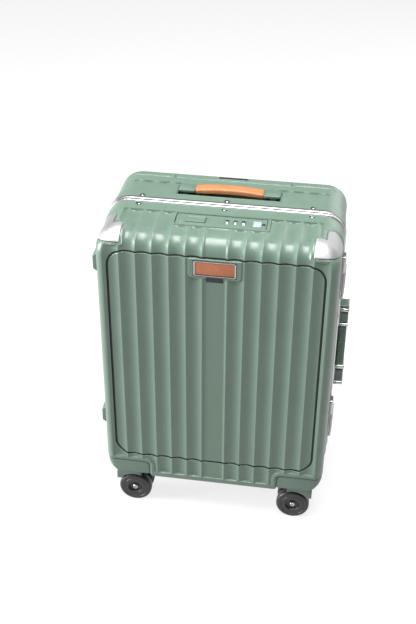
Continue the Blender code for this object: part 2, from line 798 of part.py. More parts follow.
def make_latches():
    lip = HALF_WIDTH + LIP_SIDE + GAP
    pin_x = HALF_WIDTH + LATCH_PIN_OUT
    back = -LIP_HALF - LATCH_SPACE
    for z, level in zip(LATCH_Z, ("lower", "upper")):
        low, high = z - LATCH_HALF, z + LATCH_HALF
        base = add_box(
            f"latch_base_{level}",
            (HALF_WIDTH + GAP, LATCH_BASE_Y, low),
            (pin_x - LATCH_KNUCKLE + PLAY, back, high),
            SILVER,
        )
        block = add_box(
            f"latch_block_{level}",
            (HALF_WIDTH + GAP, LATCH_BASE_Y, z + LATCH_LEVER_TOP + GAP),
            (HALF_WIDTH + LATCH_BLOCK_OUT, back, high),
        )
        combine(base, block, "UNION")
        ear = add_rod(
            f"latch_ear_{level}",
            (pin_x, LATCH_PIN_Y, low),
            (pin_x, LATCH_PIN_Y, low + LATCH_EAR),
            LATCH_KNUCKLE,
            sides=12,
        )
        combine(base, ear, "UNION")
        start, end = low + LATCH_EAR + GAP, z + LATCH_LEVER_TOP - GAP
        lever = add_box(
            f"latch_lever_{level}",
            (lip + LATCH_LIFT, LATCH_PIN_Y + LATCH_INTO, start),
            (HALF_WIDTH + LATCH_OUT, LATCH_OVER, end),
            SILVER,
        )
        barrel = add_rod(
            f"latch_barrel_{level}",
            (pin_x, LATCH_PIN_Y, start),
            (pin_x, LATCH_PIN_Y, end),
            LATCH_BARREL,
            sides=12,
        )
        combine(lever, barrel, "UNION")


def make_side_handle():
    """Two metal brackets with a pull-out grip between them, on the rear half."""
    wall = HALF_WIDTH + GAP
    out = HALF_WIDTH + SIDE_HANDLE_OUT
    y0, y1 = SIDE_HANDLE_Y - SIDE_HANDLE_WIDE / 2, SIDE_HANDLE_Y + SIDE_HANDLE_WIDE / 2
    reach = wall + SIDE_TONGUE_OFF  # where the tongues rest
    for end, level in ((-1, "lower"), (1, "upper")):
        near = SIDE_HANDLE_Z + end * (SIDE_GRIP_HALF + SIDE_PLAY)
        far = SIDE_HANDLE_Z + end * SIDE_HANDLE_HALF
        low, high = sorted((near, far))
        bracket = add_box(
            f"side_handle_bracket_{level}", (wall, y0, low), (out, y1, high), SILVER, SIDE_EDGE
        )
        s0, s1 = sorted((near - end * BEYOND, near + end * (SIDE_TONGUE + SIDE_STOP)))
        slot = add_box(
            f"side_handle_slot_{level}",
            (reach - PLAY, y0 + SIDE_TONGUE_IN - PLAY, s0),
            (reach + SIDE_TONGUE_THICK + SIDE_SLIDE + PLAY, y1 - SIDE_TONGUE_IN + PLAY, s1),
        )
        combine(bracket, slot)
    grip = add_box(
        "side_handle_grip",
        (wall + SIDE_GRIP_OFF, y0 + SIDE_GRIP_IN, SIDE_HANDLE_Z - SIDE_GRIP_HALF),
        (out - SIDE_GRIP_IN, y1 - SIDE_GRIP_IN, SIDE_HANDLE_Z + SIDE_GRIP_HALF),
        GREEN,
        SIDE_EDGE,
    )
    half = SIDE_GRIP_HALF + SIDE_TONGUE
    tongues = add_box(
        "side_handle_tongues",
        (reach, y0 + SIDE_TONGUE_IN, SIDE_HANDLE_Z - half),
        (reach + SIDE_TONGUE_THICK, y1 - SIDE_TONGUE_IN, SIDE_HANDLE_Z + half),
    )
    combine(grip, tongues, "UNION")


def make_top_handle(rear):
    x, y = POCKET
    back, front = POCKET_Y + y, POCKET_Y - y
    cut = add_box("pocket_cut", (-x, front, TOP - FAR), (x, back, TOP + BEYOND))
    combine(rear, cut)
    tray = add_box(
        "top_handle_tray",
        (-x + GAP, front + GAP, TOP - POCKET_DEPTH),
        (x - GAP, back - GAP, TOP - POCKET_LIP),
        GREEN,
    )
    wall = POCKET_WALL
    deep = add_box(
        "pocket_deep",
        (-POCKET_STEP_X, front + wall, TOP - POCKET_DEPTH + wall),
        (POCKET_STEP_X, back - wall, TOP + BEYOND),
    )
    combine(tray, deep)
    shallow = add_box(
        "pocket_shallow",
        (-x + wall, front + wall, TOP - POCKET_STEP),
        (x - wall, back - wall, TOP + BEYOND),
    )
    combine(tray, shallow)
    top = TOP + BAR_PROUD
    bar = add_box(
        "top_handle_bar",
        (-BAR_HALF, BAR_Y - BAR_WIDE / 2, top - BAR_THICK),
        (BAR_HALF, BAR_Y + BAR_WIDE / 2, top),
        GREEN,
        BAR_EDGE,
    )
    waist = add_box(
        "bar_waist",
        (-GRIP_HALF - GAP, BAR_Y - BAR_WIDE, top - BAR_THICK - BEYOND),
        (GRIP_HALF + GAP, BAR_Y + BAR_WIDE, top + BEYOND),
    )
    combine(bar, waist)
    core = add_box(
        "bar_core",
        (-GRIP_HALF - CORE_INTO, BAR_Y - CORE_HALF, top - CORE_Z[0]),
        (GRIP_HALF + CORE_INTO, BAR_Y + CORE_HALF, top - CORE_Z[1]),
    )
    combine(bar, core, "UNION")
    for side in (-1, 1):
        middle = side * BAR_LEG_X
        leg = add_box(
            f"bar_leg_{side}",
            (middle - LEG_HALF, BAR_Y - CORE_HALF, TOP - LEG_DEEP),
            (middle + LEG_HALF, BAR_Y + CORE_HALF, top - LEG_INTO),
        )
        combine(bar, leg, "UNION")
        x, y = LEG_HALF + LEG_PLAY, CORE_HALF + LEG_PLAY
        slot = add_box(
            f"leg_slot_{side}",
            (middle - x, BAR_Y - y, TOP - LEG_SLOT_DEEP),
            (middle + x, BAR_Y + y, TOP),
        )
        combine(tray, slot)
    make_leather_grip(top)


def make_leather_grip(top):
    """A sleeve round the bar's core, arched along its length."""
    bm = bmesh.new()
    rings = []
    half, chamfer = GRIP_WIDE / 2, GRIP_CHAMFER
    for i in range(GRIP_STEPS + 1):
        share = 2 * i / GRIP_STEPS - 1
        lift = GRIP_ARCH * (1 - share * share)
        high = top + GRIP_RISE + lift
        low = top - GRIP_THICK + GRIP_RISE + GRIP_SAG * lift
        ring = (
            (-half + chamfer, low),
            (half - chamfer, low),
            (half, low + chamfer),
            (half, high - chamfer),
            (half - chamfer, high),
            (-half + chamfer, high),
            (-half, high - chamfer),
            (-half, low + chamfer),
        )
        x = share * GRIP_HALF
        rings.append([bm.verts.new((x, BAR_Y + y, z)) for y, z in ring])
    for a, b in zip(rings, rings[1:]):
        for i in range(len(a)):
            j = (i + 1) % len(a)
            bm.faces.new((a[i], a[j], b[j], b[i]))
    bm.faces.new(rings[0])
    bm.faces.new(rings[-1])
    grip = add_object("top_handle_grip", bm, LEATHER)
    bore = add_box(
        "grip_bore",
        (-GRIP_HALF - BEYOND, BAR_Y - CORE_HALF - GAP, top - CORE_Z[0] - GAP),
        (GRIP_HALF + BEYOND, BAR_Y + CORE_HALF + GAP, top - CORE_Z[1] + GAP),
    )
    combine(grip, bore)


def add_tube(name, x, half, wall, low, high):
    """An upright oblong tube of the telescopic handle, or a solid bar without a wall."""
    near, far = POLE_Y - half[1], POLE_Y + half[1]
    tube = add_box(name, (x - half[0], near, low), (x + half[0], far, high), SILVER)
    if wall:
        bore = add_box(
            f"{name}_bore",
            (x - half[0] + wall, POLE_Y - half[1] + wall, low - BEYOND),
            (x + half[0] - wall, POLE_Y + half[1] - wall, high + BEYOND),
        )
        combine(tube, bore)
    return tube


def make_trolley_button():
    """A push bar that follows the rear edge's rounding, and the room that it sits in."""
    half, (near, far) = TROLLEY_PUSH_HALF, TROLLEY_PUSH_Y
    play = TROLLEY_PUSH_PLAY
    button = add_half("trolley_button", 1, grow=-TROLLEY_PUSH_DIP, rim=0.0)
    low = TOP - TROLLEY_PUSH_DEEP
    region = add_box("button_region", (-half, near, low), (half, far, TOP + BEYOND))
    combine(button, region, "INTERSECT")
    room_low = low - TROLLEY_PUSH_TRAVEL - play
    half += play
    return add_box("button_room", (-half, near - play, room_low), (half, far + play, TOP + BEYOND))


def make_trolley(rear):
    depth, low = TROLLEY_CUT
    x = TROLLEY_HALF
    wall = TROLLEY_WALL
    outer = x + wall + GAP
    beyond = DEPTH[1] + TROLLEY_BEYOND
    high = TOP + BEYOND
    cut = add_box("trolley_cut", (-outer - GAP, depth, low - GAP), (outer + GAP, beyond, high))
    combine(rear, cut)
    bezel = add_half("trolley_bezel", 1, rim=0.0)
    frame = add_box("bezel_region", (-outer, depth + GAP, low), (outer, beyond, high))
    combine(bezel, frame, "INTERSECT")
    room_low = low + wall
    room = add_box(
        "bezel_room", (-x - GAP, depth + GAP + wall, room_low), (x + GAP, beyond, high)
    )
    combine(bezel, room)
    grip = add_half("trolley_grip", 1, rim=0.0)
    grip_low = room_low + GAP
    region = add_box("grip_region", (-x, depth + wall + 2 * GAP, grip_low), (x, beyond, high))
    combine(grip, region, "INTERSECT")
    combine(grip, make_trolley_button())
    stage = tuple(h - TUBE_WALL - TUBE_PLAY for h in SLEEVE)
    pole = tuple(h - TUBE_WALL - TUBE_PLAY for h in stage)
    for side, word in ((-1, "left"), (1, "right")):
        px = side * POLE_X
        add_tube(f"trolley_sleeve_{word}", px, SLEEVE, TUBE_WALL, POLE_LOW, low - GAP)
        add_tube(f"trolley_stage_{word}", px, stage, TUBE_WALL, POLE_LOW + STAGE_UP, low + STAGE_RISE)
        end = grip_low + POLE_INTO
        rod = add_tube(f"trolley_pole_{word}", px, pole, 0.0, POLE_LOW + POLE_UP, end)
        combine(grip, rod, "UNION")
        passage = tuple(h + TUBE_PLAY for h in stage)
        combine(bezel, add_tube(f"bezel_well_{word}", px, passage, 0.0, low - BEYOND, low + FAR))


def make_lock(front):
    x, y = LOCK
    cut = add_box("lock_cut", (-x, LOCK_Y - y, TOP - LOCK_ROOM), (x, LOCK_Y + y, TOP + BEYOND))
    combine(front, cut)
    low = LOCK_TOP - LOCK_THICK
    floor = low + LOCK_FLOOR
    play = PLAY
    housing = add_box(
        "lock_housing",
        (-x + GAP, LOCK_Y - y + GAP, low),
        (x - GAP, LOCK_Y + y - GAP, LOCK_TOP),
        GREEN,
    )
    well = add_box(
        "button_well",
        (BUTTON_X - BUTTON[0], LOCK_Y - BUTTON[1], floor),
        (BUTTON_X + BUTTON[0], LOCK_Y + BUTTON[1], TOP),
    )
    combine(housing, well)
    add_box(
        "release_button",
        (BUTTON_X - BUTTON[0] + play, LOCK_Y - BUTTON[1] + play, floor + BUTTON_TRAVEL + play),
        (BUTTON_X + BUTTON[0] - play, LOCK_Y + BUTTON[1] - play, LOCK_TOP + BUTTON_PROUD),
        GREEN,
        BUTTON_EDGE,
    )
    dial_z = LOCK_TOP + DIAL_PROUD - DIAL_RADIUS
    for i in range(DIALS):
        middle = DIAL_X + i * DIAL_PITCH
        half = DIAL_THICK / 2
        slot = add_box(
            f"dial_slot_{i + 1}",
            (middle - half - play, LOCK_Y - DIAL_RADIUS - play, floor),
            (middle + half + play, LOCK_Y + DIAL_RADIUS + play, TOP),
        )
        combine(housing, slot)
        add_rod(
            f"dial_{i + 1}",
            (middle - half, LOCK_Y, dial_z),
            (middle + half, LOCK_Y, dial_z),
            DIAL_RADIUS,
            SILVER,
            20,
        )
    bore = add_rod("key_bore", (KEY_X, LOCK_Y, floor), (KEY_X, LOCK_Y, TOP), KEY_RADIUS + play)
    combine(housing, bore)
    add_rod("key_cylinder", (KEY_X, LOCK_Y, floor + GAP), (KEY_X, LOCK_Y, LOCK_TOP), KEY_RADIUS)


def make_linings():
    """Thin fabric trays: the rear one behind the main room, the front one behind the door."""
    half = HALF_WIDTH - SKIN - FLANGE_THICK - LINING_SPACE
    for side, word in ((-1, "front"), (1, "rear")):
        near, far = LINING_RIM[side], LINING_BACK[side]
        closed_end, open_end = (far, near) if side == 1 else (near, far)
        inward = side * LINING
        solid = outline(half, LINING_LOW, LINING_HIGH, *LINING_CORNERS, 5)
        ys = sorted((side * near, side * far))
        tray = add_prism(f"{word}_lining", solid, *ys, FABRIC)
        radii = (radius - LINING for radius in LINING_CORNERS)
        room = outline(half - LINING, LINING_LOW + LINING, LINING_HIGH - LINING, *radii, 5)
        floor = side * (closed_end - inward)
        mouth = side * open_end - FAR
        combine(tray, add_prism(f"{word}_room", room, *sorted((floor, mouth))))


def turned_wheel(name, centre, direction):
    """A wheel turned about the Y axis: tyre, dished outer face, hub and bore. direction is outward."""
    half = WHEEL_WIDE / 2
    r = WHEEL_RADIUS
    bore = AXLE + GAP
    shoulder = [(r - below, half - inside) for below, inside in TYRE_SHOULDER]
    profile = [
        (bore, -half),
        *((radius, -along) for radius, along in shoulder),
        *reversed(shoulder),
        (HUB_RADIUS[0], half),
        (HUB_RADIUS[1], half - HUB_DISH),
        (bore, half - HUB_DISH),
    ]
    sides = WHEEL_SIDES
    bm = bmesh.new()
    rings = []
    for radius, along in profile:
        ring = []
        for i in range(sides):
            a = 2 * math.pi * i / sides
            point = (radius * math.cos(a), direction * along, radius * math.sin(a))
            ring.append(bm.verts.new(Vector(centre) + Vector(point)))
        rings.append(ring)
    for k, ring in enumerate(rings):
        following = rings[(k + 1) % len(rings)]
        for i in range(sides):
            j = (i + 1) % sides
            bm.faces.new((ring[i], ring[j], following[j], following[i]))
    return add_object(name, bm, BLACK)


def make_casters():
    for y_side, place in ((-1, "front"), (1, "rear")):
        for x_side, hand in ((-1, "left"), (1, "right")):
            make_caster(f"{place}_{hand}", x_side, y_side)


def make_caster(word, x_side, y_side):
    pivot_x, y = x_side * CASTER_X, y_side * (DEPTH[y_side] - CASTER_IN)
    wheel_x = pivot_x - x_side * WHEEL_TRAIL
    web = WHEEL_GAP / 2 - WEB_SPACE
    width = WHEEL_GAP / 2 + WHEEL_WIDE
    middle = pivot_x + x_side * (FORK_OUT - FORK_IN) / 2
    top = HOUSING_LOW - FORK_SPACE
    shape = outline((FORK_OUT + FORK_IN) / 2, FORK_LOW, top, FORK_EDGE, FORK_CORNER, 4)
    points = [(middle + x, z) for x, z in shape]
    fork = add_prism(f"caster_fork_{word}", points, y - width, y + width)
    for side in (-1, 1):
        ends = sorted((y + side * web, y + side * (width + BEYOND)))
        arch = add_rod(
            f"fork_arch_{word}_{side}",
            (wheel_x, ends[0], WHEEL_Z),
            (wheel_x, ends[1], WHEEL_Z),
            WHEEL_RADIUS + ARCH_SPACE,
            sides=32,
        )
        combine(fork, arch)
    drop = add_rod(
        f"fork_web_{word}",
        (wheel_x, y - web + WEB_INTO, WHEEL_Z),
        (wheel_x, y + web - WEB_INTO, WHEEL_Z),
        WEB_RADIUS,
        sides=20,
    )
    combine(fork, drop, "UNION")
    axle = add_rod(
        f"fork_axle_{word}",
        (wheel_x, y - width + AXLE_IN, WHEEL_Z),
        (wheel_x, y + width - AXLE_IN, WHEEL_Z),
        AXLE,
        sides=16,
    )
    combine(fork, axle, "UNION")
    stem = add_rod(f"fork_stem_{word}", (pivot_x, y, STEM_Z[0]), (pivot_x, y, STEM_Z[1]), STEM)
    combine(fork, stem, "UNION")
    for side, which in ((-1, "a"), (1, "b")):
        middle = y + side * (WHEEL_GAP + WHEEL_WIDE) / 2
        turned_wheel(f"wheel_{word}_{which}", (wheel_x, middle, WHEEL_Z), side)


def main():
    shells = make_shells()
    make_door()
    make_badge()
    make_door_fittings()
    make_frames()
    make_guards(shells[-1])
    make_caster_housings(shells)
    make_feet()
    make_hinges()
    make_latches()
    make_side_handle()
    make_top_handle(shells[1])
    make_trolley(shells[1])
    make_lock(shells[-1])
    make_linings()
    make_casters()


main()
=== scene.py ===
"""Looks of a sage green hard shell cabin suitcase: ribbed shells, a front door, an aluminium frame,
metal corner guards, a lock, leather on the handle and badge, and four twin-wheel casters.

Shapes are worked out about the middle of the case's frame, in metres: x across, depth away from the
frame towards each half's face, z up. SHIFT carries them to their place.
"""

import math

import bmesh
import bpy
import numpy as np
from bpy.props import FloatProperty, FloatVectorProperty, PointerProperty
from mathutils import Matrix, Vector


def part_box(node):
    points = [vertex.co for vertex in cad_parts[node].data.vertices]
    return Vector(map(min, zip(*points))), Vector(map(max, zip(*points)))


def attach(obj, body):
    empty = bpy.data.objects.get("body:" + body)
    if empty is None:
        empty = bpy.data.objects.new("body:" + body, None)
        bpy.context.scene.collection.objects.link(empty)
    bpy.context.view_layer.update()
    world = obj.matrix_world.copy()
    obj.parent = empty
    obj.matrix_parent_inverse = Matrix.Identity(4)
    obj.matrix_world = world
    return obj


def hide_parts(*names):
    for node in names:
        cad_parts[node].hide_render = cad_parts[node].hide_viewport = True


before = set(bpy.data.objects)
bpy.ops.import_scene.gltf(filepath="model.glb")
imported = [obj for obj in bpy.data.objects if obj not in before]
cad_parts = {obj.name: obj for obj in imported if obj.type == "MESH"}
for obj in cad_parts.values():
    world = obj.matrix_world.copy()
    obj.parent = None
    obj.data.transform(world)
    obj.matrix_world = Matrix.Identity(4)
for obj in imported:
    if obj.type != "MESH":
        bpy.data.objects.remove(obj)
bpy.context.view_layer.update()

bl_info = {
    "name": "Ribbed cabin suitcase",
    "version": (1, 0, 0),
    "blender": (4, 5, 0),
    "location": "View3D > Sidebar > Suitcase",
    "description": "Detailed shells, fittings, leather and wheels around the suitcase's frame",
    "category": "Add Mesh",
}

FRONT, REAR = -1, 1

# The case's own sizes, as its solids have them
HALF_WIDTH = 0.1898
TOP = 0.555
BOTTOM = 0.062
DEPTH = {FRONT: 0.1180, REAR: 0.1140}
TOP_CORNER = 0.036
BOTTOM_CORNER = 0.033
TOP_ROUND = {FRONT: 0.030, REAR: 0.021}
BOTTOM_ROUND = 0.012
SIDE_ROUND_X = 0.0136
SIDE_ROUND_Y = 0.022
RIM = 0.0078
BAND_HALF = 0.0196
BAND_FLOOR = 0.0155
FLUTES = 6
FLUTE_PITCH = (HALF_WIDTH - SIDE_ROUND_X - BAND_HALF) / FLUTES
DOOR = (0.1695, 0.1145, 0.5245, 0.028)  # half width, low, high, corner radius, at the seam's middle
SEAM = 0.0030
LIP_SIDE = 0.0035
LIP_UP = 0.0017
LIP_HALF = 0.0075
LOCK = (0.0720, 0.0352, 0.0684)  # half width, and the depths where it ends
POCKET = (0.0855, 0.0250, 0.0626)
TROLLEY_CUT = (0.0985, 0.0820, 0.5297)  # half width, depth and height where it starts
HOUSING = (0.1112, 0.0487, 0.0988)  # where the wheel housings' seats start: across, depth, height
SEAT_CORNER = 0.008  # radius of the seats' upper inner corner
CREASE_END = 0.0775  # height on both faces under which the hollows have ended
DOOR_ROWS = 0.110  # height where a shell's rows start to follow the door's outline
REAR_ROWS = (0.1425, 0.4965)  # heights that stand in for the door's edges on the rear shell
BADGE = (0.0338, 0.5064, 0.0142)  # half width, middle height and half height of the badge's pocket
NOTCH = (0.0135, 0.4865, 0.0050)  # the same of the finger notch below it
LEG_X = 0.0720  # middle of the top handle's legs and of the pull-out handle's poles
HANDLE_Y = 0.0488
HANDLE_TOP = TOP + 0.0025
GRIP_HALF = 0.0555
DIAL_X, DIAL_PITCH = 0.009, 0.013
KEY_X = 0.0664
LOCK_PLATE_X = 0.0562
EDGE_STEPS = (0.0, 0.0001, 0.0003, 0.0006, 0.0010, 0.0015, 0.0025)  # rows beside a rounded edge
JOINT = 0.0003  # each half of the frame starts this far from the joint

frame_low, frame_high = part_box("rear_frame")
SHIFT = np.array(((frame_low.x + frame_high.x) / 2, frame_low.y - JOINT, frame_high.z - TOP - LIP_UP))


# ---------------------------------------------------------------- shapes


def ease(start, end, value):
    """0 before start, 1 after end, and a smooth S-shaped rise between them."""
    t = np.clip((value - start) / (end - start), 0.0, 1.0)
    return t * t * (3 - 2 * t)


def soft_min(a, b, width):
    """The smaller of a and b, with the corner between them rounded over width."""
    t = np.clip(0.5 + 0.5 * (b - a) / width, 0.0, 1.0)
    return b + (a - b) * t - width * t * (1 - t)


def corner_distance(a, b):
    """Distance to the quarter plane a < 0, b < 0: rounded outside, negative inside."""
    outside = np.hypot(np.maximum(a, 0), np.maximum(b, 0))
    return outside + np.minimum(np.maximum(a, b), 0)


def box_distance(x, y, half_x, half_y, radius):
    """Distance to a rounded rectangle about the origin, negative inside."""
    return corner_distance(np.abs(x) - half_x + radius, np.abs(y) - half_y + radius) - radius


def edge_drop(distance, radius):
    """How far a rounded edge of this radius lies under its face, at a distance from the edge."""
    left = np.clip(radius - distance, 0, radius)
    return radius - np.sqrt(radius**2 - left**2)


def grid_faces(first, second, wrap=False):
    """Quads of a grid of first x second points, numbered along the second direction."""
    i = np.arange(first - 1)[:, None]
    j = np.arange(second if wrap else second - 1)[None, :]
    k = (j + 1) % second
    quads = (i * second + j, (i + 1) * second + j, (i + 1) * second + k, i * second + k)
    return np.stack(np.broadcast_arrays(*quads), axis=-1).reshape(-1, 4)


def capped(rings):
    """Closed rings of points joined in turn, with a flat face over each end."""
    count = len(rings[0])
    faces = grid_faces(len(rings), count, wrap=True).tolist()
    faces += [list(range(count)), list(range((len(rings) - 1) * count, len(rings) * count))]
    return np.concatenate(rings), faces


def ring_round(loops):
    """Loops joined in turn and the last to the first."""
    loops = [*loops, loops[0]]
    return np.concatenate(loops), grid_faces(len(loops), len(loops[0]), wrap=True)


def add_piece(name, parts, material, body, replaces=(), sharp=35.0):
    """A piece from (points, faces) parts in case coordinates, merged, facing outwards, and riding."""
    points, faces, start = [], [], 0
    for part_points, part_faces in parts:
        points.append(np.asarray(part_points, float).reshape(-1, 3))
        faces += [[int(start + i) for i in face] for face in part_faces]
        start += len(points[-1])
    points = np.concatenate(points) + SHIFT
    mesh = bpy.data.meshes.new(name)
    mesh.from_pydata(points.tolist(), [], faces)
    bm = bmesh.new()
    bm.from_mesh(mesh)
    bmesh.ops.remove_doubles(bm, verts=bm.verts, dist=2e-5)
    bmesh.ops.dissolve_degenerate(bm, dist=1e-6, edges=bm.edges)
    bmesh.ops.recalc_face_normals(bm, faces=bm.faces)
    bm.to_mesh(mesh)
    bm.free()
    return finish_piece(name, mesh, material, body, replaces, sharp)


def finish_piece(name, mesh, material, body, replaces=(), sharp=35.0):
    """Puts a mesh in the scene with its finish, on its body, in place of the nodes that it replaces."""
    mesh.materials.clear()
    mesh.materials.append(material)
    mesh.shade_smooth()
    mesh.set_sharp_from_angle(angle=math.radians(sharp))
    piece = bpy.data.objects.new(name, mesh)
    bpy.context.scene.collection.objects.link(piece)
    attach(piece, body)
    if replaces:
        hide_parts(*replaces)
    return piece


def apply_modifiers(piece, sharp=35.0):
    """Makes the piece's modifiers part of its mesh."""
    bpy.context.view_layer.update()
    evaluated = piece.evaluated_get(bpy.context.evaluated_depsgraph_get())
    mesh = bpy.data.meshes.new_from_object(evaluated)
    piece.modifiers.clear()
    piece.data = mesh
    mesh.set_sharp_from_angle(angle=math.radians(sharp))
    return piece


def thicken(piece, thickness, sharp=35.0):
    """Gives a sheet its thickness on the inside."""
    wall = piece.modifiers.new("wall", "SOLIDIFY")
    wall.thickness = thickness
    wall.offset = -1.0
    return apply_modifiers(piece, sharp)


def cut(piece, parts, sharp=35.0):
    """Takes closed (points, faces) parts, in case coordinates, out of a closed piece."""
    tools = []
    for number, (points, faces) in enumerate(parts):
        mesh = bpy.data.meshes.new(f"{piece.name}_cut")
        flat = (np.asarray(points, float).reshape(-1, 3) + SHIFT).tolist()
        mesh.from_pydata(flat, [], [[int(i) for i in face] for face in faces])
        bm = bmesh.new()
        bm.from_mesh(mesh)
        bmesh.ops.remove_doubles(bm, verts=bm.verts, dist=1e-6)
        bmesh.ops.recalc_face_normals(bm, faces=bm.faces)
        bm.to_mesh(mesh)
        bm.free()
        tool = bpy.data.objects.new(f"{piece.name}_cut_{number}", mesh)
        bpy.context.scene.collection.objects.link(tool)
        tools.append(tool)
        modifier = piece.modifiers.new(tool.name, "BOOLEAN")
        modifier.operation = "DIFFERENCE"
        modifier.solver = "MANIFOLD"
        modifier.object = tool
    apply_modifiers(piece, sharp)
    for tool in tools:
        bpy.data.objects.remove(tool)
    return piece


def rounded_outline(half_u, half_v, radius, steps=6, middle=(0.0, 0.0)):
    """A rounded rectangle's (u, v) points, anticlockwise: a quarter turn of points at each corner."""
    turn = np.radians(np.linspace(0, 90, steps + 1))
    points = []
    for quarter, (su, sv) in enumerate(((1, 1), (-1, 1), (-1, -1), (1, -1))):
        angle = turn + quarter * math.pi / 2
        u = su * (half_u - radius) + radius * np.cos(angle)
        v = sv * (half_v - radius) + radius * np.sin(angle)
        points.append(np.stack((u, v), axis=-1))
    return np.concatenate(points) + np.asarray(middle)


def outward(outline):
    """Unit normals of a closed anticlockwise outline, the mean of its two edges' at each point."""
    after, before = np.roll(outline, -1, axis=0) - outline, outline - np.roll(outline, 1, axis=0)
    total = np.zeros_like(outline)
    for edge in (after, before):
        length = np.maximum(np.hypot(edge[:, 0], edge[:, 1]), 1e-9)
        total += np.stack((edge[:, 1], -edge[:, 0]), axis=-1) / length[:, None]
    return total / np.maximum(np.hypot(total[:, 0], total[:, 1]), 1e-9)[:, None]


def soft_levels(low, high, radius, steps=4):
    """(inset, height) levels of a block whose two ends are rounded: quarter circles at each end."""
    angle = np.radians(np.linspace(0, 90, steps + 1))
    inset, rise = radius * (1 - np.sin(angle)), radius * (1 - np.cos(angle))
    return list(zip(inset, low + rise)) + list(zip(inset[::-1], high - rise[::-1]))


AXES = {"x": ((0, 1, 0), (0, 0, 1), (1, 0, 0)), "y": ((0, 0, 1), (1, 0, 0), (0, 1, 0)),
        "z": ((1, 0, 0), (0, 1, 0), (0, 0, 1))}


def block(outline, levels, axis="z", middle=(0, 0, 0)):
    """An outline carried along an axis: each level draws it in by its inset, at its height."""
    u, v, w = (np.array(a, float) for a in AXES[axis])
    normal = outward(outline)
    rings = []
    for inset, height in levels:
        ring = outline - inset * normal
        rings.append(ring[:, :1] * u + ring[:, 1:] * v + height * w + np.asarray(middle, float))
    return capped(rings)


def soft_box(low, high, radius, axis="z", corner=None, steps=3):
    """A box between two corners with every edge rounded."""
    low, high = np.asarray(low, float), np.asarray(high, float)
    middle, half = (low + high) / 2, (high - low) / 2
    order = {"x": (1, 2, 0), "y": (2, 0, 1), "z": (0, 1, 2)}[axis]
    u, v, w = (half[i] for i in order)
    outline = rounded_outline(u, v, corner or radius, steps + 1)
    return block(outline, soft_levels(-w, w, radius, steps), axis, middle)


def lathe(profile, middle, axis="z", steps=48, mirror=1, wave=None):
    """(radius, height) points turned about an axis; wave(angle, height) may swell the radius."""
    u, v, w = (np.array(a, float) for a in AXES[axis])
    profile = np.asarray(profile, float)
    angle = np.linspace(0, 2 * math.pi, steps, endpoint=False)
    radius = profile[:, :1] + (0 if wave is None else wave(angle[None, :], profile[:, 1:]))
    radius = np.broadcast_to(radius, (len(profile), steps))
    points = (radius * np.cos(angle))[..., None] * u + (radius * np.sin(angle))[..., None] * v
    points = points + profile[:, None, 1:] * mirror * w + np.asarray(middle, float)
    faces = grid_faces(len(profile), steps, wrap=True).tolist()
    if profile[0, 0] > 0 and not np.allclose(profile[0], profile[-1]):
        faces.append(list(range(steps))[::-1])
        faces.append(list(range((len(profile) - 1) * steps, len(profile) * steps)))
    return points, faces


def tube(path, radius, steps=10):
    """A round section carried along (n, 3) points, with flat ends: each ring lies across the path."""
    path = np.asarray(path, float)
    along = np.gradient(path, axis=0)
    along /= np.linalg.norm(along, axis=1)[:, None]
    up = np.array((0.0, 0.0, 1.0)) if abs(along[0, 2]) < 0.9 else np.array((0.0, 1.0, 0.0))
    side = np.cross(along, up)
    side /= np.linalg.norm(side, axis=1)[:, None]
    up = np.cross(side, along)
    angle = np.linspace(0, 2 * math.pi, steps, endpoint=False)
    ring = np.cos(angle)[None, :, None] * side[:, None] + np.sin(angle)[None, :, None] * up[:, None]
    return capped(path[:, None] + radius * ring)


# ---------------------------------------------------------------- the case's surface


def rounding_left(p, radius, grow):
    """1 up to where a rounding starts, falling as a quarter circle to 0 at the grown side."""
    share = np.clip((p - (HALF_WIDTH - radius)) / (radius + grow), 0, 1)
    return np.sqrt(1 - share**2)


def section(side, p, grow):
    """The section's sizes at a place p from the middle: face depth, top, bottom and both radii."""
    keep = rounding_left(p, SIDE_ROUND_X, grow)
    face = DEPTH[side] + grow - (SIDE_ROUND_Y + grow) * (1 - keep)
    top = TOP + grow - (TOP_CORNER + grow) * (1 - rounding_left(p, TOP_CORNER, grow))
    low = BOTTOM - grow + (BOTTOM_CORNER + grow) * (1 - rounding_left(p, BOTTOM_CORNER, grow))
    return face, top, low, (TOP_ROUND[side] + grow) * keep, (BOTTOM_ROUND + grow) * keep


def door_edge(p, grow):
    """Lower and upper height of the door's rounded outline at p, grown outwards."""
    half, low, high, radius = DOOR[0] + grow, DOOR[1] - grow, DOOR[2] + grow, DOOR[3] + grow
    reach = np.clip(p - (half - radius), 0, radius)
    rise = radius - np.sqrt(radius**2 - reach**2)
    return low + rise, high - rise


def around(side, p, u, grow):
    """Place and direction outwards at u, a height that runs on over the top rounding and along the top.

    On the face u is the height. Past the face's end it is the length along the rounding.
    """
    face, top, _, radius, _ = section(side, p, grow)
    start = top - radius
    angle = np.clip((u - start) / np.maximum(radius, 1e-6), 0, math.pi / 2)
    angle = np.where(u > start + 1e-9, angle, 0.0)
    depth = face - radius + radius * np.cos(angle)
    z = np.where(u > start, start + radius * np.sin(angle), u)
    over = np.maximum(u - start - radius * math.pi / 2, 0)
    return depth - over, z, angle


def lean(side, p, angle, over_bottom):
    """How fast the surface falls away across the case: the slope of its support in this direction."""
    step = 2e-5
    values = []
    for q in (np.minimum(p + step, HALF_WIDTH), np.maximum(p - step, 0)):
        face, top, low, top_r, low_r = section(side, q, 0.0)
        above = (face - top_r) * np.cos(angle) + (top - top_r) * np.sin(angle) + top_r
        below = (face - low_r) * np.cos(angle) - (low + low_r) * np.sin(angle) + low_r
        values.append(np.where(over_bottom, below, above))
    return (values[1] - values[0]) / (2 * step)


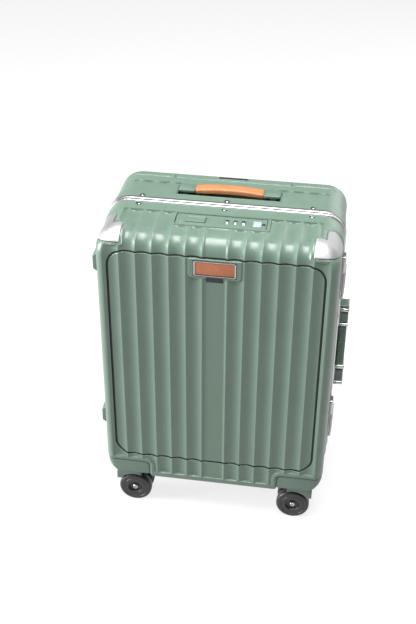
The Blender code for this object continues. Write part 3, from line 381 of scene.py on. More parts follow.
def case_grid(side, places, rows, grow=0.0):
    """Points and outward directions on one half: columns at places, rows as (block, share).

    Blocks: under (rim to the face), under_round, low (to DOOR_ROWS), door_low, door, door_high
    (over the top rounding) and over (the top, from the face to the rim).
    """
    p = np.abs(places)[:, None]
    face, top, low, top_r, low_r = section(side, p, grow)
    start, end = low + low_r, top - top_r
    edge_low, edge_high = door_edge(np.minimum(p, DOOR[0] + SEAM / 2), SEAM / 2)
    if side == REAR:
        edge_low, edge_high = (0 * p + height for height in REAR_ROWS)
    past = np.clip((edge_high - end) / np.maximum(top_r, 1e-6), 0, 1)
    edge_u = np.where(edge_high > end, end + top_r * np.arcsin(past), edge_high)
    last = end + top_r * math.pi / 2
    depth, z, angle, kinds = [], [], [], []
    for kind, share in rows:
        a, below = 0 * p, kind in ("under", "under_round")
        if kind == "under":
            d, h, a = RIM + (face - low_r - RIM) * share, low + 0 * p, a + math.pi / 2
        elif kind == "under_round":
            a = a + math.pi / 2 * (1 - share)
            d, h = face - low_r + low_r * np.cos(a), low + low_r - low_r * np.sin(a)
        elif kind == "over":
            d, h, a = RIM + (face - top_r - RIM) * share, top + 0 * p, a + math.pi / 2
        else:
            turn = {
                "low": start + (DOOR_ROWS - start) * share,
                "door_low": DOOR_ROWS + (edge_low - DOOR_ROWS) * share,
                "door": edge_low + (edge_u - edge_low) * share,
                "door_high": edge_u + (last - edge_u) * share,
            }[kind]
            d, h, a = around(side, p, turn, grow)
        depth.append(d)
        z.append(h)
        angle.append(a)
        kinds.append(below)
    depth, z, angle = (np.concatenate(v, axis=1) for v in (depth, z, angle))
    below = np.array(kinds)[None, :]
    slope = lean(side, p + 0 * depth, angle, below)
    steep = np.broadcast_to(p > HALF_WIDTH - 1e-6, depth.shape)
    normal = np.stack((slope, np.cos(angle), np.where(below, -1, 1) * np.sin(angle)), axis=-1)
    normal = np.where(steep[..., None], np.array((1.0, 0.0, 0.0)), normal)
    normal /= np.linalg.norm(normal, axis=-1)[..., None]
    across = np.sign(places)[:, None]
    points = np.stack((places[:, None] + 0 * depth, depth, z), axis=-1)
    normal[..., 0] *= np.where(across == 0, 1, across)
    return points, normal


def placed(side, points):
    """Turns depth into y, which is negative in front."""
    return points * np.array((1.0, side, 1.0))


def rib_depth(p, depth, band):
    """Hollow ribs: a parabola between crests, and a flat sunk band with sloping sides in the middle."""
    share = np.clip((p - BAND_HALF) / FLUTE_PITCH, 0, FLUTES) % 1.0
    hollow = depth * 4 * share * (1 - share)
    blunt = 0.00022
    hollow = np.sqrt(hollow**2 + blunt**2) - blunt
    hollow = np.where(p > BAND_HALF + FLUTES * FLUTE_PITCH - 1e-6, 0, hollow)
    middle = band * (1 - ease(BAND_FLOOR, BAND_HALF, p))
    return np.where(p < BAND_HALF, middle, hollow)


def guard_distance(p, behind, z):
    """Distance outside a metal corner guard's region: a front part and a narrower arm going back."""
    front = corner_distance(0.149 - p, behind - 0.0370)
    arm_in = 0.1660 + 0.010 * ease(0.060, 0.074, behind) ** 2
    arm = corner_distance(arm_in - p, behind - 0.0728)
    plan = np.minimum(front, arm)
    low = TOP - 0.0150 - 0.27 * behind
    return corner_distance(plan, (low - z) * 0.96)


def housing_distance(p, z):
    """Distance outside a wheel housing's seat seen from the front, with its corner rounded."""
    return corner_distance(HOUSING[0] + SEAT_CORNER - p, z - HOUSING[2] + SEAT_CORNER) - SEAT_CORNER


def bead_drop(bead):
    """How far the surface sinks from a wheel housing's raised bead to the seat's edge."""
    return 0.0022 * (1 - ease(-0.0005, 0.0035, bead)) ** 2


def front_hollow(sizes, points, normal):
    """How far the front shell's surface lies under its crests at each point.

    The hollows of the ribs rise to nothing at each limit's slope: above the lower edge, near the
    frame, round the lock's flat field, beside the corner guards and round the wheel housings. The
    guards' seats, the housings' beads and the rounded edge at the door's seam are sunk on top.
    """
    p, depth, z = np.abs(points[..., 0]), points[..., 1], points[..., 2]
    behind = DEPTH[FRONT] - depth
    high = np.maximum(normal[..., 2], 0)
    zone = 0.0008 * ease(0.90, 1.0, high) * ease(0.0325, 0.0335, depth)
    hollow = rib_depth(p, sizes.rib_depth, sizes.band_depth) * np.where(normal[..., 2] < -0.05, 0, 1)
    hollow = hollow + zone
    limits = [(z - CREASE_END) * 1.6, (depth - 0.0328) * 3.2]
    on_top = ease(0.046, 0.050, behind)
    limits.append(np.where(on_top > 0.5, (0.158 - p) * 5.0, 1.0))
    plateau = box_distance(p, behind - 0.0650, 0.0770, 0.0195, 0.004)
    limits.append(np.where(high > 0.5, plateau * 3.2, 1.0))
    guard = guard_distance(p, behind, z)
    limits.append((guard - 0.0052) * 1.5)
    bead = housing_distance(p, z)
    limits.append(np.where(depth > 0.09, (bead - 0.0075) * 1.3, 1.0))
    for limit in limits:
        hollow = soft_min(hollow, np.maximum(limit, 0), 0.0005)
    hollow = np.maximum(hollow, 0)
    hollow += 0.0008 * (1 - ease(0.0038, 0.0048, guard)) + 0.0011 * (1 - ease(0.0002, 0.0006, guard))
    hollow += np.where(depth > 0.09, bead_drop(bead), 0)
    seam = -box_distance(p, z - (DOOR[1] + DOOR[2]) / 2, DOOR[0] + SEAM / 2,
                         (DOOR[2] - DOOR[1] + SEAM) / 2, DOOR[3] + SEAM / 2)
    hollow += np.where(depth > 0.09, edge_drop(-seam, 0.0011), 0)
    return hollow - side_step(sizes, points, normal)


def side_step(sizes, points, normal):
    """The broad raised band beside the frame on the case's sides."""
    return sizes.side_step * np.abs(normal[..., 0]) ** 2 * (1 - ease(0.034, 0.040, points[..., 1]))


def rear_hollow(sizes, points, normal):
    """How far the rear shell's surface lies under its crests at each point.

    The face's ribs end above the lower edge and under the top. On the top they show again as short
    scoops, and a shallow step runs on both sides of the pull-out handle.
    """
    p, depth, z = np.abs(points[..., 0]), points[..., 1], points[..., 2]
    rib = rib_depth(p, sizes.rib_depth, sizes.band_depth)
    face = rib * np.where(normal[..., 2] < -0.05, 0, 1)
    bead = housing_distance(p, z)
    limits = [(z - CREASE_END) * 1.3, (0.512 - z) * 1.3,
              np.where(depth > 0.085, (bead - 0.0075) * 0.9, 1.0)]
    for limit in limits:
        face = soft_min(face, np.maximum(limit, 0), 0.0005)
    top = normal[..., 2] > 0.6
    scoop = rib * 0.85 * np.clip((depth - 0.0555) / 0.010, 0, 1) ** 1.5
    for limit in ((0.0665 - depth) * 6.0, (0.1610 - p) * 4.0, (p - 0.0720) * 4.0):
        scoop = soft_min(scoop, np.maximum(limit, 0), 0.0004)
    step = 0.0011 * ease(0.0775, 0.0783, depth) * (1 - ease(0.0867, 0.0875, depth))
    step = step * (1 - ease(0.169, 0.171, p)) * ease(0.100, 0.102, p)
    hollow = np.maximum(np.where(top, scoop + step, face), 0)
    hollow += np.where(depth > 0.085, bead_drop(bead), 0)
    return hollow - side_step(sizes, points, normal)


def places_across(keys, half=HALF_WIDTH):
    """Columns: close together at each crest and at the keys, wider in the hollows, both sides."""
    part = np.array((0, 0.010, 0.03, 0.07, 0.13, 0.21, 0.30, 0.40, 0.5))
    part = np.concatenate((part, 1 - part[-2:0:-1]))
    found = [np.linspace(0, BAND_FLOOR, 4), np.linspace(BAND_FLOOR, BAND_HALF, 6)]
    for flute in range(FLUTES):
        found.append(BAND_HALF + FLUTE_PITCH * (flute + part))
    turn = np.radians(np.linspace(0, 90, 13))
    found.append(HALF_WIDTH - SIDE_ROUND_X + SIDE_ROUND_X * np.sin(turn))
    found = np.concatenate(found)
    keys = np.array(sorted(keys))
    near = np.abs(found[:, None] - keys[None, :]).min(axis=1) < 0.0004
    crest = np.isclose((found - BAND_HALF) / FLUTE_PITCH % 1.0, 0, atol=1e-6)
    found = np.unique(np.concatenate((found[~near | crest], keys)).round(6))
    found = np.append(found[found < half - 1e-4], half)
    return np.concatenate((-found[:0:-1], found))


def shares(values):
    """Positions along a block as shares of its length."""
    values = np.asarray(values, float)
    return (values - values[0]) / (values[-1] - values[0])


def top_rows(side, keys):
    """Depth shares from the rim to where the rounding starts, with rows at the keys."""
    end = DEPTH[side] - TOP_ROUND[side]
    found = np.concatenate((np.array((RIM, 0.0085, 0.010, 0.013, 0.017, 0.021)),
                            np.arange(0.0245, end, 0.0021)))
    keys = np.array(keys)
    near = np.abs(found[:, None] - keys[None, :]).min(axis=1) < 0.0007
    near[0] = False
    found = np.unique(np.concatenate((found[~near], keys, [end])).round(6))
    return (found - RIM) / (end - RIM)


def shell_rows(side, top_keys):
    """The rows of a shell from the rim under the bottom, up the face and back to the top's rim."""
    top = top_rows(side, top_keys)
    rows = [("under", t) for t in top[:-1]]
    rows += [("under_round", t) for t in np.linspace(0, 1, 7)[:-1]]
    low_start = BOTTOM + BOTTOM_ROUND
    low = np.concatenate((np.linspace(low_start, 0.077, 3), np.linspace(CREASE_END, DOOR_ROWS, 24)))
    rows += [("low", t) for t in shares(low)[:-1]]
    rows += [("door_low", t) for t in (0.0, 0.35, 0.6, 0.75, 0.86, 0.94)]
    rows += [("door", t) for t in (0.0, 0.02, 0.1, 0.5, 0.9, 0.98)]
    if side == FRONT:
        upper = np.concatenate(((0.0, 0.006, 0.014, 0.026), np.linspace(0.045, 1, 24)))
    else:
        round_start = TOP - TOP_ROUND[REAR]
        round_end = round_start + TOP_ROUND[REAR] * math.pi / 2
        upper = shares(np.concatenate((np.linspace(REAR_ROWS[1], TROLLEY_CUT[2], 16), (0.5325, round_start),
                                       np.linspace(0.5365, round_end, 12))))
    rows += [("door_high", t) for t in upper]
    rows += [("over", t) for t in top[-2::-1]]
    return rows


def side_sheets(side, points, rows, hollow, sizes):
    """Both flat sides: a grid whose edge rows are the last column's, sunk by the same rule."""
    kinds = np.array([kind for kind, _ in rows])
    column = points[-1]
    depths = column[kinds == "under"][:, 1]
    face = column[(kinds != "under") & (kinds != "over")]
    edge = np.append(depths, face[0, 1])
    heights = face[:, 2]
    sheets = []
    for hand in (-1, 1):
        grid = np.stack(np.broadcast_arrays(hand * HALF_WIDTH, edge[:, None], heights[None, :]), axis=-1)
        out = np.zeros_like(grid)
        out[..., 0] = hand
        grid = grid - out * hollow(sizes, grid, out)[..., None]
        faces = grid_faces(len(edge), len(heights))
        sheets.append((placed(side, grid).reshape(-1, 3), faces))
    return sheets


def shell_parts(side, sizes, hollow, keys, top_keys, hole):
    """A shell's outer sheets: left open at the hole in the top, and at the door or the handle."""
    places = places_across(keys)
    rows = shell_rows(side, top_keys)
    points, normal = case_grid(side, places, rows)
    sunk = points - normal * hollow(sizes, points, normal)[..., None]
    faces = grid_faces(len(places), len(rows))
    middle = points.reshape(-1, 3)[faces].mean(axis=1)
    kinds = np.array([kind for kind, _ in rows])
    row = faces[:, 0] % len(rows)
    p, depth, z = np.abs(middle[:, 0]), middle[:, 1], middle[:, 2]
    keep = np.ones(len(faces), bool)
    half, near, far = hole
    keep &= ~((p < half) & (depth > near) & (depth < far) & (z > TOP - 0.005))
    if side == FRONT:
        keep &= ~((kinds[row] == "door") & (p < DOOR[0] + SEAM / 2))
    else:
        half, start, low = TROLLEY_CUT
        keep &= ~((p < half) & (depth > start) & (z > low))
    parts = [(placed(side, sunk).reshape(-1, 3), faces[keep])]
    return parts + side_sheets(side, points, rows, hollow, sizes)


# ---------------------------------------------------------------- finishes


def new_group(name, inputs, outputs):
    """An empty shader node group with named number and vector inputs, and number outputs."""
    group = bpy.data.node_groups.new(name, "ShaderNodeTree")
    for label, kind, value in inputs:
        socket = group.interface.new_socket(label, in_out="INPUT", socket_type=kind)
        if value is not None:
            socket.default_value = value
    for label in outputs:
        group.interface.new_socket(label, in_out="OUTPUT", socket_type="NodeSocketFloat")
    return group, group.nodes.new("NodeGroupInput"), group.nodes.new("NodeGroupOutput")


def noise_node(tree, vector, scale, detail=3.0, roughness=0.5):
    """Cloudy noise; the scale is a number or another node's output."""
    node = tree.nodes.new("ShaderNodeTexNoise")
    node.inputs["Detail"].default_value = detail
    node.inputs["Roughness"].default_value = roughness
    tree.links.new(vector, node.inputs["Vector"])
    if isinstance(scale, (int, float)):
        node.inputs["Scale"].default_value = scale
    else:
        tree.links.new(scale, node.inputs["Scale"])
    return node.outputs["Fac"]


def math_node(tree, operation, first, second=None, third=None, clamp=False):
    """One sum, product or the like; its operands are numbers or other nodes' outputs."""
    node = tree.nodes.new("ShaderNodeMath")
    node.operation = operation
    node.use_clamp = clamp
    for socket, value in zip(node.inputs, (first, second, third)):
        if value is None:
            continue
        if isinstance(value, (int, float)):
            socket.default_value = value
        else:
            tree.links.new(value, socket)
    return node.outputs[0]


def ramp_node(tree, value, start, end, low=0.0, high=1.0):
    """A smooth rise from low to high while the value goes from start to end."""
    node = tree.nodes.new("ShaderNodeMapRange")
    node.interpolation_type = "SMOOTHSTEP"
    for label, number in (("From Min", start), ("From Max", end), ("To Min", low), ("To Max", high)):
        node.inputs[label].default_value = number
    tree.links.new(value, node.inputs["Value"])
    return node.outputs["Result"]


def stretch_node(tree, vector, scale):
    """The vector with each axis multiplied by its own number."""
    node = tree.nodes.new("ShaderNodeMapping")
    node.inputs["Scale"].default_value = scale
    tree.links.new(vector, node.inputs["Vector"])
    return node.outputs["Vector"]


def make_pebble_group():
    """Moulded grain: rounded pebbles from a cell pattern softened by noise, and a slow cloudy tone."""
    inputs = (("Vector", "NodeSocketVector", None), ("Scale", "NodeSocketFloat", 1400.0))
    tree, start, end = new_group("Moulded pebble grain", inputs, ("Height", "Tone"))
    cells = tree.nodes.new("ShaderNodeTexVoronoi")
    cells.feature = "SMOOTH_F1"
    cells.inputs["Smoothness"].default_value = 0.6
    tree.links.new(start.outputs["Vector"], cells.inputs["Vector"])
    tree.links.new(start.outputs["Scale"], cells.inputs["Scale"])
    fine = noise_node(tree, start.outputs["Vector"], 2600.0, 2.0)
    height = math_node(tree, "MULTIPLY_ADD", cells.outputs["Distance"], -0.8, fine)
    tree.links.new(height, end.inputs["Height"])
    tree.links.new(noise_node(tree, start.outputs["Vector"], 14.0, 4.0, 0.6), end.inputs["Tone"])
    return tree


def make_wear_group():
    """Rubbed edges: the surface's own sharp convex places, broken up by noise."""
    inputs = (("Vector", "NodeSocketVector", None), ("Amount", "NodeSocketFloat", 0.5))
    tree, start, end = new_group("Rubbed edges", inputs, ("Mask",))
    shape = tree.nodes.new("ShaderNodeNewGeometry")
    edge = ramp_node(tree, shape.outputs["Pointiness"], 0.53, 0.62)
    broken = ramp_node(tree, noise_node(tree, start.outputs["Vector"], 180.0, 5.0, 0.65), 0.42, 0.62)
    mask = math_node(tree, "MULTIPLY", edge, broken)
    tree.links.new(math_node(tree, "MULTIPLY", mask, start.outputs["Amount"]), end.inputs["Mask"])
    return tree


def make_dust_group():
    """Dust: a thin broken film that lies on what faces up."""
    inputs = (("Vector", "NodeSocketVector", None), ("Amount", "NodeSocketFloat", 0.2))
    tree, start, end = new_group("Settled dust", inputs, ("Mask",))
    shape = tree.nodes.new("ShaderNodeNewGeometry")
    parts = tree.nodes.new("ShaderNodeSeparateXYZ")
    tree.links.new(shape.outputs["Normal"], parts.inputs["Vector"])
    up = ramp_node(tree, parts.outputs["Z"], 0.3, 1.0)
    patches = ramp_node(tree, noise_node(tree, start.outputs["Vector"], 45.0, 6.0, 0.7), 0.35, 0.75)
    mask = math_node(tree, "MULTIPLY", up, patches)
    tree.links.new(math_node(tree, "MULTIPLY", mask, start.outputs["Amount"]), end.inputs["Mask"])
    return tree


def make_brush_group():
    """Drawn metal: fine streaks, as long as the incoming vector is stretched, and cloudy marks."""
    inputs = (("Vector", "NodeSocketVector", None), ("Scale", "NodeSocketFloat", 900.0))
    tree, start, end = new_group("Drawn metal", inputs, ("Streaks", "Clouds"))
    streaks = noise_node(tree, start.outputs["Vector"], start.outputs["Scale"], 3.0, 0.6)
    tree.links.new(streaks, end.inputs["Streaks"])
    tree.links.new(noise_node(tree, start.outputs["Vector"], 60.0, 5.0, 0.6), end.inputs["Clouds"])
    return tree


def make_leather_group():
    """Leather: crackled cells with soft creases, and mottled tone."""
    inputs = (("Vector", "NodeSocketVector", None), ("Scale", "NodeSocketFloat", 700.0))
    tree, start, end = new_group("Leather grain", inputs, ("Height", "Mottle"))
    cells = tree.nodes.new("ShaderNodeTexVoronoi")
    cells.feature = "DISTANCE_TO_EDGE"
    tree.links.new(start.outputs["Vector"], cells.inputs["Vector"])
    tree.links.new(start.outputs["Scale"], cells.inputs["Scale"])
    crease = ramp_node(tree, cells.outputs["Distance"], 0.0, 0.22)
    fine = noise_node(tree, start.outputs["Vector"], 1800.0, 3.0)
    tree.links.new(math_node(tree, "MULTIPLY_ADD", fine, 0.35, crease), end.inputs["Height"])
    tree.links.new(noise_node(tree, start.outputs["Vector"], 90.0, 5.0, 0.6), end.inputs["Mottle"])
    return tree


def make_weave_group():
    """Plain weave: two crossed waves of thread, over and under in turn."""
    inputs = (("Vector", "NodeSocketVector", None), ("Scale", "NodeSocketFloat", 4200.0))
    tree, start, end = new_group("Plain weave", inputs, ("Height", "Tone"))
    split = tree.nodes.new("ShaderNodeSeparateXYZ")
    tree.links.new(start.outputs["Vector"], split.inputs["Vector"])
    across = math_node(tree, "ADD", split.outputs["X"], split.outputs["Y"])
    waves = []
    for place in (across, split.outputs["Z"]):
        turn = math_node(tree, "MULTIPLY", place, start.outputs["Scale"])
        waves.append(math_node(tree, "SINE", turn))
    tree.links.new(math_node(tree, "MULTIPLY", *waves), end.inputs["Height"])
    tree.links.new(noise_node(tree, start.outputs["Vector"], 30.0, 4.0), end.inputs["Tone"])
    return tree


GROUPS = {}


def shared(name):
    """A node group that several finishes use, made the first time that it is asked for."""
    makers = {"pebble": make_pebble_group, "wear": make_wear_group, "dust": make_dust_group,
              "brush": make_brush_group, "leather": make_leather_group, "weave": make_weave_group}
    if name not in GROUPS:
        GROUPS[name] = makers[name]()
    return GROUPS[name]


def use_group(tree, name, vector, **values):
    """A shared group's outputs in a material, with its numbers set on the group's own sockets."""
    node = tree.nodes.new("ShaderNodeGroup")
    node.node_tree = shared(name)
    tree.links.new(vector, node.inputs["Vector"])
    for label, value in values.items():
        node.inputs[label.capitalize()].default_value = value
    return node.outputs


def mix_colour(tree, share, first, second):
    """A colour between two, which are fixed colours or other nodes' outputs."""
    node = tree.nodes.new("ShaderNodeMix")
    node.data_type = "RGBA"
    for socket, value in ((node.inputs["Factor"], share), (node.inputs[6], first), (node.inputs[7], second)):
        if isinstance(value, (int, float)):
            socket.default_value = value
        elif isinstance(value, tuple):
            socket.default_value = value if len(value) == 4 else (*value, 1.0)
        else:
            tree.links.new(value, socket)
    return node.outputs[2]


def start_material(name):
    """A new material with its node tree, its shader and the object's own coordinates."""
    material = bpy.data.materials.new(name)
    material.use_nodes = True
    tree = material.node_tree
    shader = tree.nodes["Principled BSDF"]
    place = tree.nodes.new("ShaderNodeTexCoord").outputs["Object"]
    return material, tree, shader, place


def bump(tree, shader, height, depth):
    """Turns a height into the shader's normal; depth is the relief's size in metres."""
    node = tree.nodes.new("ShaderNodeBump")
    node.inputs["Distance"].default_value = depth
    node.inputs["Strength"].default_value = 1.0
    tree.links.new(height, node.inputs["Height"])
    tree.links.new(node.outputs["Normal"], shader.inputs["Normal"])


def shaded(colour, factor):
    """A colour made lighter or darker."""
    return tuple(min(1.0, c * factor) for c in colour[:3])


def moulded_plastic(name, colour, roughness=0.42, grain=1500.0, depth=0.00006, wear=0.25, dust=0.04):
    """Moulded plastic: cloudy tone, fine pebble grain, lighter rubbed edges and a little dust."""
    material, tree, shader, place = start_material(name)
    pebble = use_group(tree, "pebble", place, scale=grain)
    tone = ramp_node(tree, pebble["Tone"], 0.3, 0.7)
    base = mix_colour(tree, tone, shaded(colour, 0.97), shaded(colour, 1.03))
    rubbed = use_group(tree, "wear", place, amount=wear)["Mask"]
    base = mix_colour(tree, rubbed, base, shaded(colour, 1.7))
    dusty = use_group(tree, "dust", place, amount=dust)["Mask"]
    base = mix_colour(tree, dusty, base, (0.36, 0.37, 0.34))
    tree.links.new(base, shader.inputs["Base Color"])
    rough = math_node(tree, "MULTIPLY_ADD", pebble["Height"], 0.10, roughness - 0.05)
    tree.links.new(math_node(tree, "MULTIPLY_ADD", dusty, 0.5, rough, clamp=True), shader.inputs["Roughness"])
    bump(tree, shader, pebble["Height"], depth)
    return material


def worked_metal(name, colour, roughness=0.34, stretch=(1.0, 1.0, 1.0), scale=1600.0, depth=0.00002):
    """Satin metal: fine speckle or drawn streaks in colour, roughness and relief."""
    material, tree, shader, place = start_material(name)
    shader.inputs["Metallic"].default_value = 1.0
    marks = use_group(tree, "brush", stretch_node(tree, place, stretch), scale=scale)
    fleck = ramp_node(tree, marks["Streaks"], 0.3, 0.7)
    base = mix_colour(tree, fleck, shaded(colour, 0.86), shaded(colour, 1.05))
    cloud = ramp_node(tree, marks["Clouds"], 0.35, 0.7)
    base = mix_colour(tree, math_node(tree, "MULTIPLY", cloud, 0.25), base, shaded(colour, 0.85))
    tree.links.new(base, shader.inputs["Base Color"])
    rough = math_node(tree, "MULTIPLY_ADD", marks["Streaks"], 0.16, roughness - 0.08)
    tree.links.new(rough, shader.inputs["Roughness"])
    bump(tree, shader, marks["Streaks"], depth)
    return material


def tanned_leather(name, colour, roughness=0.5, scale=800.0, depth=0.00012):
    """Leather: creased cells, mottled colour, painted shade that darkens the creases, and rubbed edges."""
    material, tree, shader, place = start_material(name)
    grain = use_group(tree, "leather", place, scale=scale)
    mottle = ramp_node(tree, grain["Mottle"], 0.3, 0.7)
    base = mix_colour(tree, mottle, shaded(colour, 0.86), shaded(colour, 1.1))
    # Painted shade: the colour is darkened in the grain's creases.
    crease = ramp_node(tree, grain["Height"], 0.0, 0.9)
    base = mix_colour(tree, crease, shaded(colour, 0.62), base)
    rubbed = use_group(tree, "wear", place, amount=0.35)["Mask"]
    base = mix_colour(tree, rubbed, base, shaded(colour, 1.5))
    tree.links.new(base, shader.inputs["Base Color"])
    rough = math_node(tree, "MULTIPLY_ADD", grain["Height"], -0.10, roughness + 0.06)
    tree.links.new(rough, shader.inputs["Roughness"])
    bump(tree, shader, grain["Height"], depth)
    return material


def woven_cloth(name, colour, scale=3800.0):
    """Lining cloth: a plain weave with cloudy tone and soft sheen."""
    material, tree, shader, place = start_material(name)
    weave = use_group(tree, "weave", place, scale=scale)
    thread = ramp_node(tree, weave["Height"], -0.8, 0.8)
    base = mix_colour(tree, thread, shaded(colour, 0.6), shaded(colour, 1.25))
    tone = ramp_node(tree, weave["Tone"], 0.3, 0.7)
    tree.links.new(mix_colour(tree, tone, base, shaded(colour, 0.9)), shader.inputs["Base Color"])
    shader.inputs["Sheen Weight"].default_value = 0.3
    rough = math_node(tree, "MULTIPLY_ADD", weave["Height"], 0.05, 0.8)
    tree.links.new(rough, shader.inputs["Roughness"])
    bump(tree, shader, weave["Height"], 0.00015)
    return material


MADE = {}


def finish(name):
    """One of the suitcase's finishes, made the first time that it is asked for."""
    if name in MADE:
        return MADE[name]
    colours = bpy.context.scene.suitcase_finishes
    green, metal = tuple(colours.shell), tuple(colours.metal)
    makers = {
        "sage_shell": lambda: moulded_plastic(name, green, colours.shell_roughness),
        "sage_fittings": lambda: moulded_plastic(name, shaded(green, 0.92), 0.45),
        # A much darker copy of the shell's green: painted shade, used for the wheel wells inside the case.
        "sage_painted_shade": lambda: moulded_plastic(name, shaded(green, 0.35), 0.5, dust=0.02),
        "grey_plate": lambda: moulded_plastic(name, (0.26, 0.29, 0.33), 0.35, 2400.0, 0.00002),
        "dark_metal": lambda: worked_metal(name, shaded(metal, 0.30), 0.36, (1, 1, 6), 900.0),
        "guard_metal": lambda: worked_metal(name, shaded(metal, 0.66), 0.58, (1, 1, 1), 1900.0, 0.00005),
        "frame_metal": lambda: worked_metal(name, shaded(metal, 0.80), 0.36, (1, 8, 1), 700.0),
        # A darker, rougher copy of the frame's aluminium for the rear half: painted shade.
        "frame_metal_rear_shade": lambda: worked_metal(name, shaded(metal, 0.42), 0.46, (1, 8, 1), 700.0),
        "bright_metal": lambda: worked_metal(name, shaded(metal, 0.70), 0.26, (1, 1, 6), 900.0),
        "tube_metal": lambda: worked_metal(name, shaded(metal, 0.9), 0.28, (9, 9, 0.4), 900.0),
        "rubber_tyre": lambda: moulded_plastic(
            name, (0.014, 0.014, 0.015), 0.42, 1100.0, 0.00008, wear=0.2, dust=0.10),
        "black_plastic": lambda: moulded_plastic(
            name, (0.010, 0.011, 0.011), 0.34, 1700.0, 0.00003, wear=0.2),
        "seal_rubber": lambda: moulded_plastic(
            name, (0.012, 0.013, 0.013), 0.6, 1100.0, 0.00004, wear=0.1, dust=0.02),
        "handle_leather": lambda: tanned_leather(name, tuple(colours.handle_leather)),
        "badge_leather": lambda: tanned_leather(name, tuple(colours.badge_leather), 0.6, 1100.0),
        "thread": lambda: woven_cloth(name, shaded(tuple(colours.handle_leather), 0.8), 9000.0),
        "lining_cloth": lambda: woven_cloth(name, tuple(colours.lining)),
    }
    MADE[name] = makers[name]()
    return MADE[name]


def length(name, description, default, low, high):
    """A length that can be set in the sidebar."""
    return FloatProperty(name=name, description=description, default=default, min=low, max=high,
                         subtype="DISTANCE", unit="LENGTH")


def colour(name, description, default):
    """A colour that can be set in the sidebar."""
    return FloatVectorProperty(name=name, description=description, default=default, subtype="COLOR",
                               size=3, min=0, max=1)


class SuitcaseSizes(bpy.types.PropertyGroup):
    """Sizes of the relief that can be changed without leaving the case's box"""

    rib_depth: length("Rib depth", "Depth of a hollow between two crests", 0.0037, 0.001, 0.0045)
    band_depth: length("Middle band's depth", "How far the plain band is sunk", 0.0018, 0.0, 0.004)
    side_step: length("Side band", "How far the band beside the frame stands out", 0.0015, 0.0, 0.003)
    wall: length("Shell wall", "Thickness of the moulded shells", 0.0024, 0.001, 0.005)
    guard_wall: length("Guard wall", "Thickness of the metal corner guards", 0.0012, 0.0005, 0.002)
    handle_arch: length("Handle arch", "Rise of the leather grip in the middle", 0.0040, 0.0, 0.006)


class SuitcaseFinishes(bpy.types.PropertyGroup):
    """Colours and gloss"""

    shell: colour("Shell", "Sage green of the shells", (0.089, 0.136, 0.105))
    shell_roughness: FloatProperty(name="Shell roughness", description="Gloss of the shells",
                                   default=0.40, min=0.05, max=1, subtype="FACTOR")
    metal: colour("Aluminium", "Frame, guards and latches", (0.66, 0.66, 0.67))
    handle_leather: colour("Handle leather", "Tan of the grip", (0.36, 0.150, 0.052))
    badge_leather: colour("Badge leather", "Brown of the badge", (0.34, 0.105, 0.040))
    lining: colour("Lining", "Cloth inside", (0.09, 0.10, 0.10))


# ---------------------------------------------------------------- the pieces


def door_sheet(sizes):
    """The door: a ribbed face over a flat back, joined round the rounded outline.

    Columns run between the outline's lower and upper heights. The hollows end at the badge's flat
    boss, and the badge's pocket and the finger notch are sunk with straight walls.
    """
    half = DOOR[0] - SEAM / 2
    wall = 0.00004  # half the distance over which the pockets' straight walls drop
    keys = [place + step for place in (BADGE[0], NOTCH[0]) for step in (-wall, wall)]
    keys += [0.0385, 0.0395, 0.0405, 0.0415, 0.0425]
    turn = np.radians(np.linspace(5, 88, 14))
    keys += list(half - DOOR[3] * (1 - np.sin(turn)))
    keys += [half - step for step in (0.0022, 0.0015, 0.0010, 0.0006, 0.0003, 0.0001)]
    places = places_across(keys, half)
    places = places[np.abs(places) <= half + 1e-9]
    low, high = door_edge(np.abs(places), -SEAM / 2)
    levels = [DOOR[1] + SEAM / 2 + step for step in (*EDGE_STEPS, 0.02, 0.18, 0.34, 0.36)]
    for _, middle, size in (BADGE, NOTCH):
        for edge in (middle - size, middle + size):
            levels += [edge - wall, edge + wall]
    levels += list(np.arange(0.4790, 0.5225, 0.0011))
    top = DOOR[2] - SEAM / 2
    levels += [top - step for step in EDGE_STEPS]
    levels = np.unique(np.array([z for z in levels if z <= top]).round(6))
    z = low[:, None] + (high - low)[:, None] * shares(levels)[None, :]
    x = places[:, None] + 0 * z
    p = np.abs(x)
    hollow = rib_depth(p, sizes.rib_depth, sizes.band_depth)
    boss = box_distance(p, z - 0.512, 0.0410, 0.0228, 0.006)
    hollow = np.maximum(soft_min(hollow, np.maximum(boss * 1.4, 0), 0.0004), 0)
    for (wide, height, size), depth in ((BADGE, 0.0026), (NOTCH, 0.0032)):
        hollow = np.where((p < wide) & (np.abs(z - height) < size), depth, hollow)
    middle = (DOOR[1] + DOOR[2]) / 2
    edge = box_distance(p, z - middle, half, (DOOR[2] - DOOR[1] - SEAM) / 2, DOOR[3] - SEAM / 2)
    hollow = hollow + edge_drop(-edge, 0.0011)
    face = np.stack((x, -(DEPTH[FRONT] - hollow), z), axis=-1)
    back = np.stack((x, -(DEPTH[FRONT] - 0.0061) + 0 * x, z), axis=-1)
    count = z.size
    faces = grid_faces(*z.shape)
    number = np.arange(count).reshape(z.shape)
    walls = []
    for line in (number[0], number[-1], number[:, 0], number[:, -1]):
        walls.append(np.stack((line[:-1], line[1:], line[1:] + count, line[:-1] + count), axis=-1))
    points = np.concatenate((face.reshape(-1, 3), back.reshape(-1, 3)))
    return points, np.concatenate((faces, faces[:, ::-1] + count, *walls))


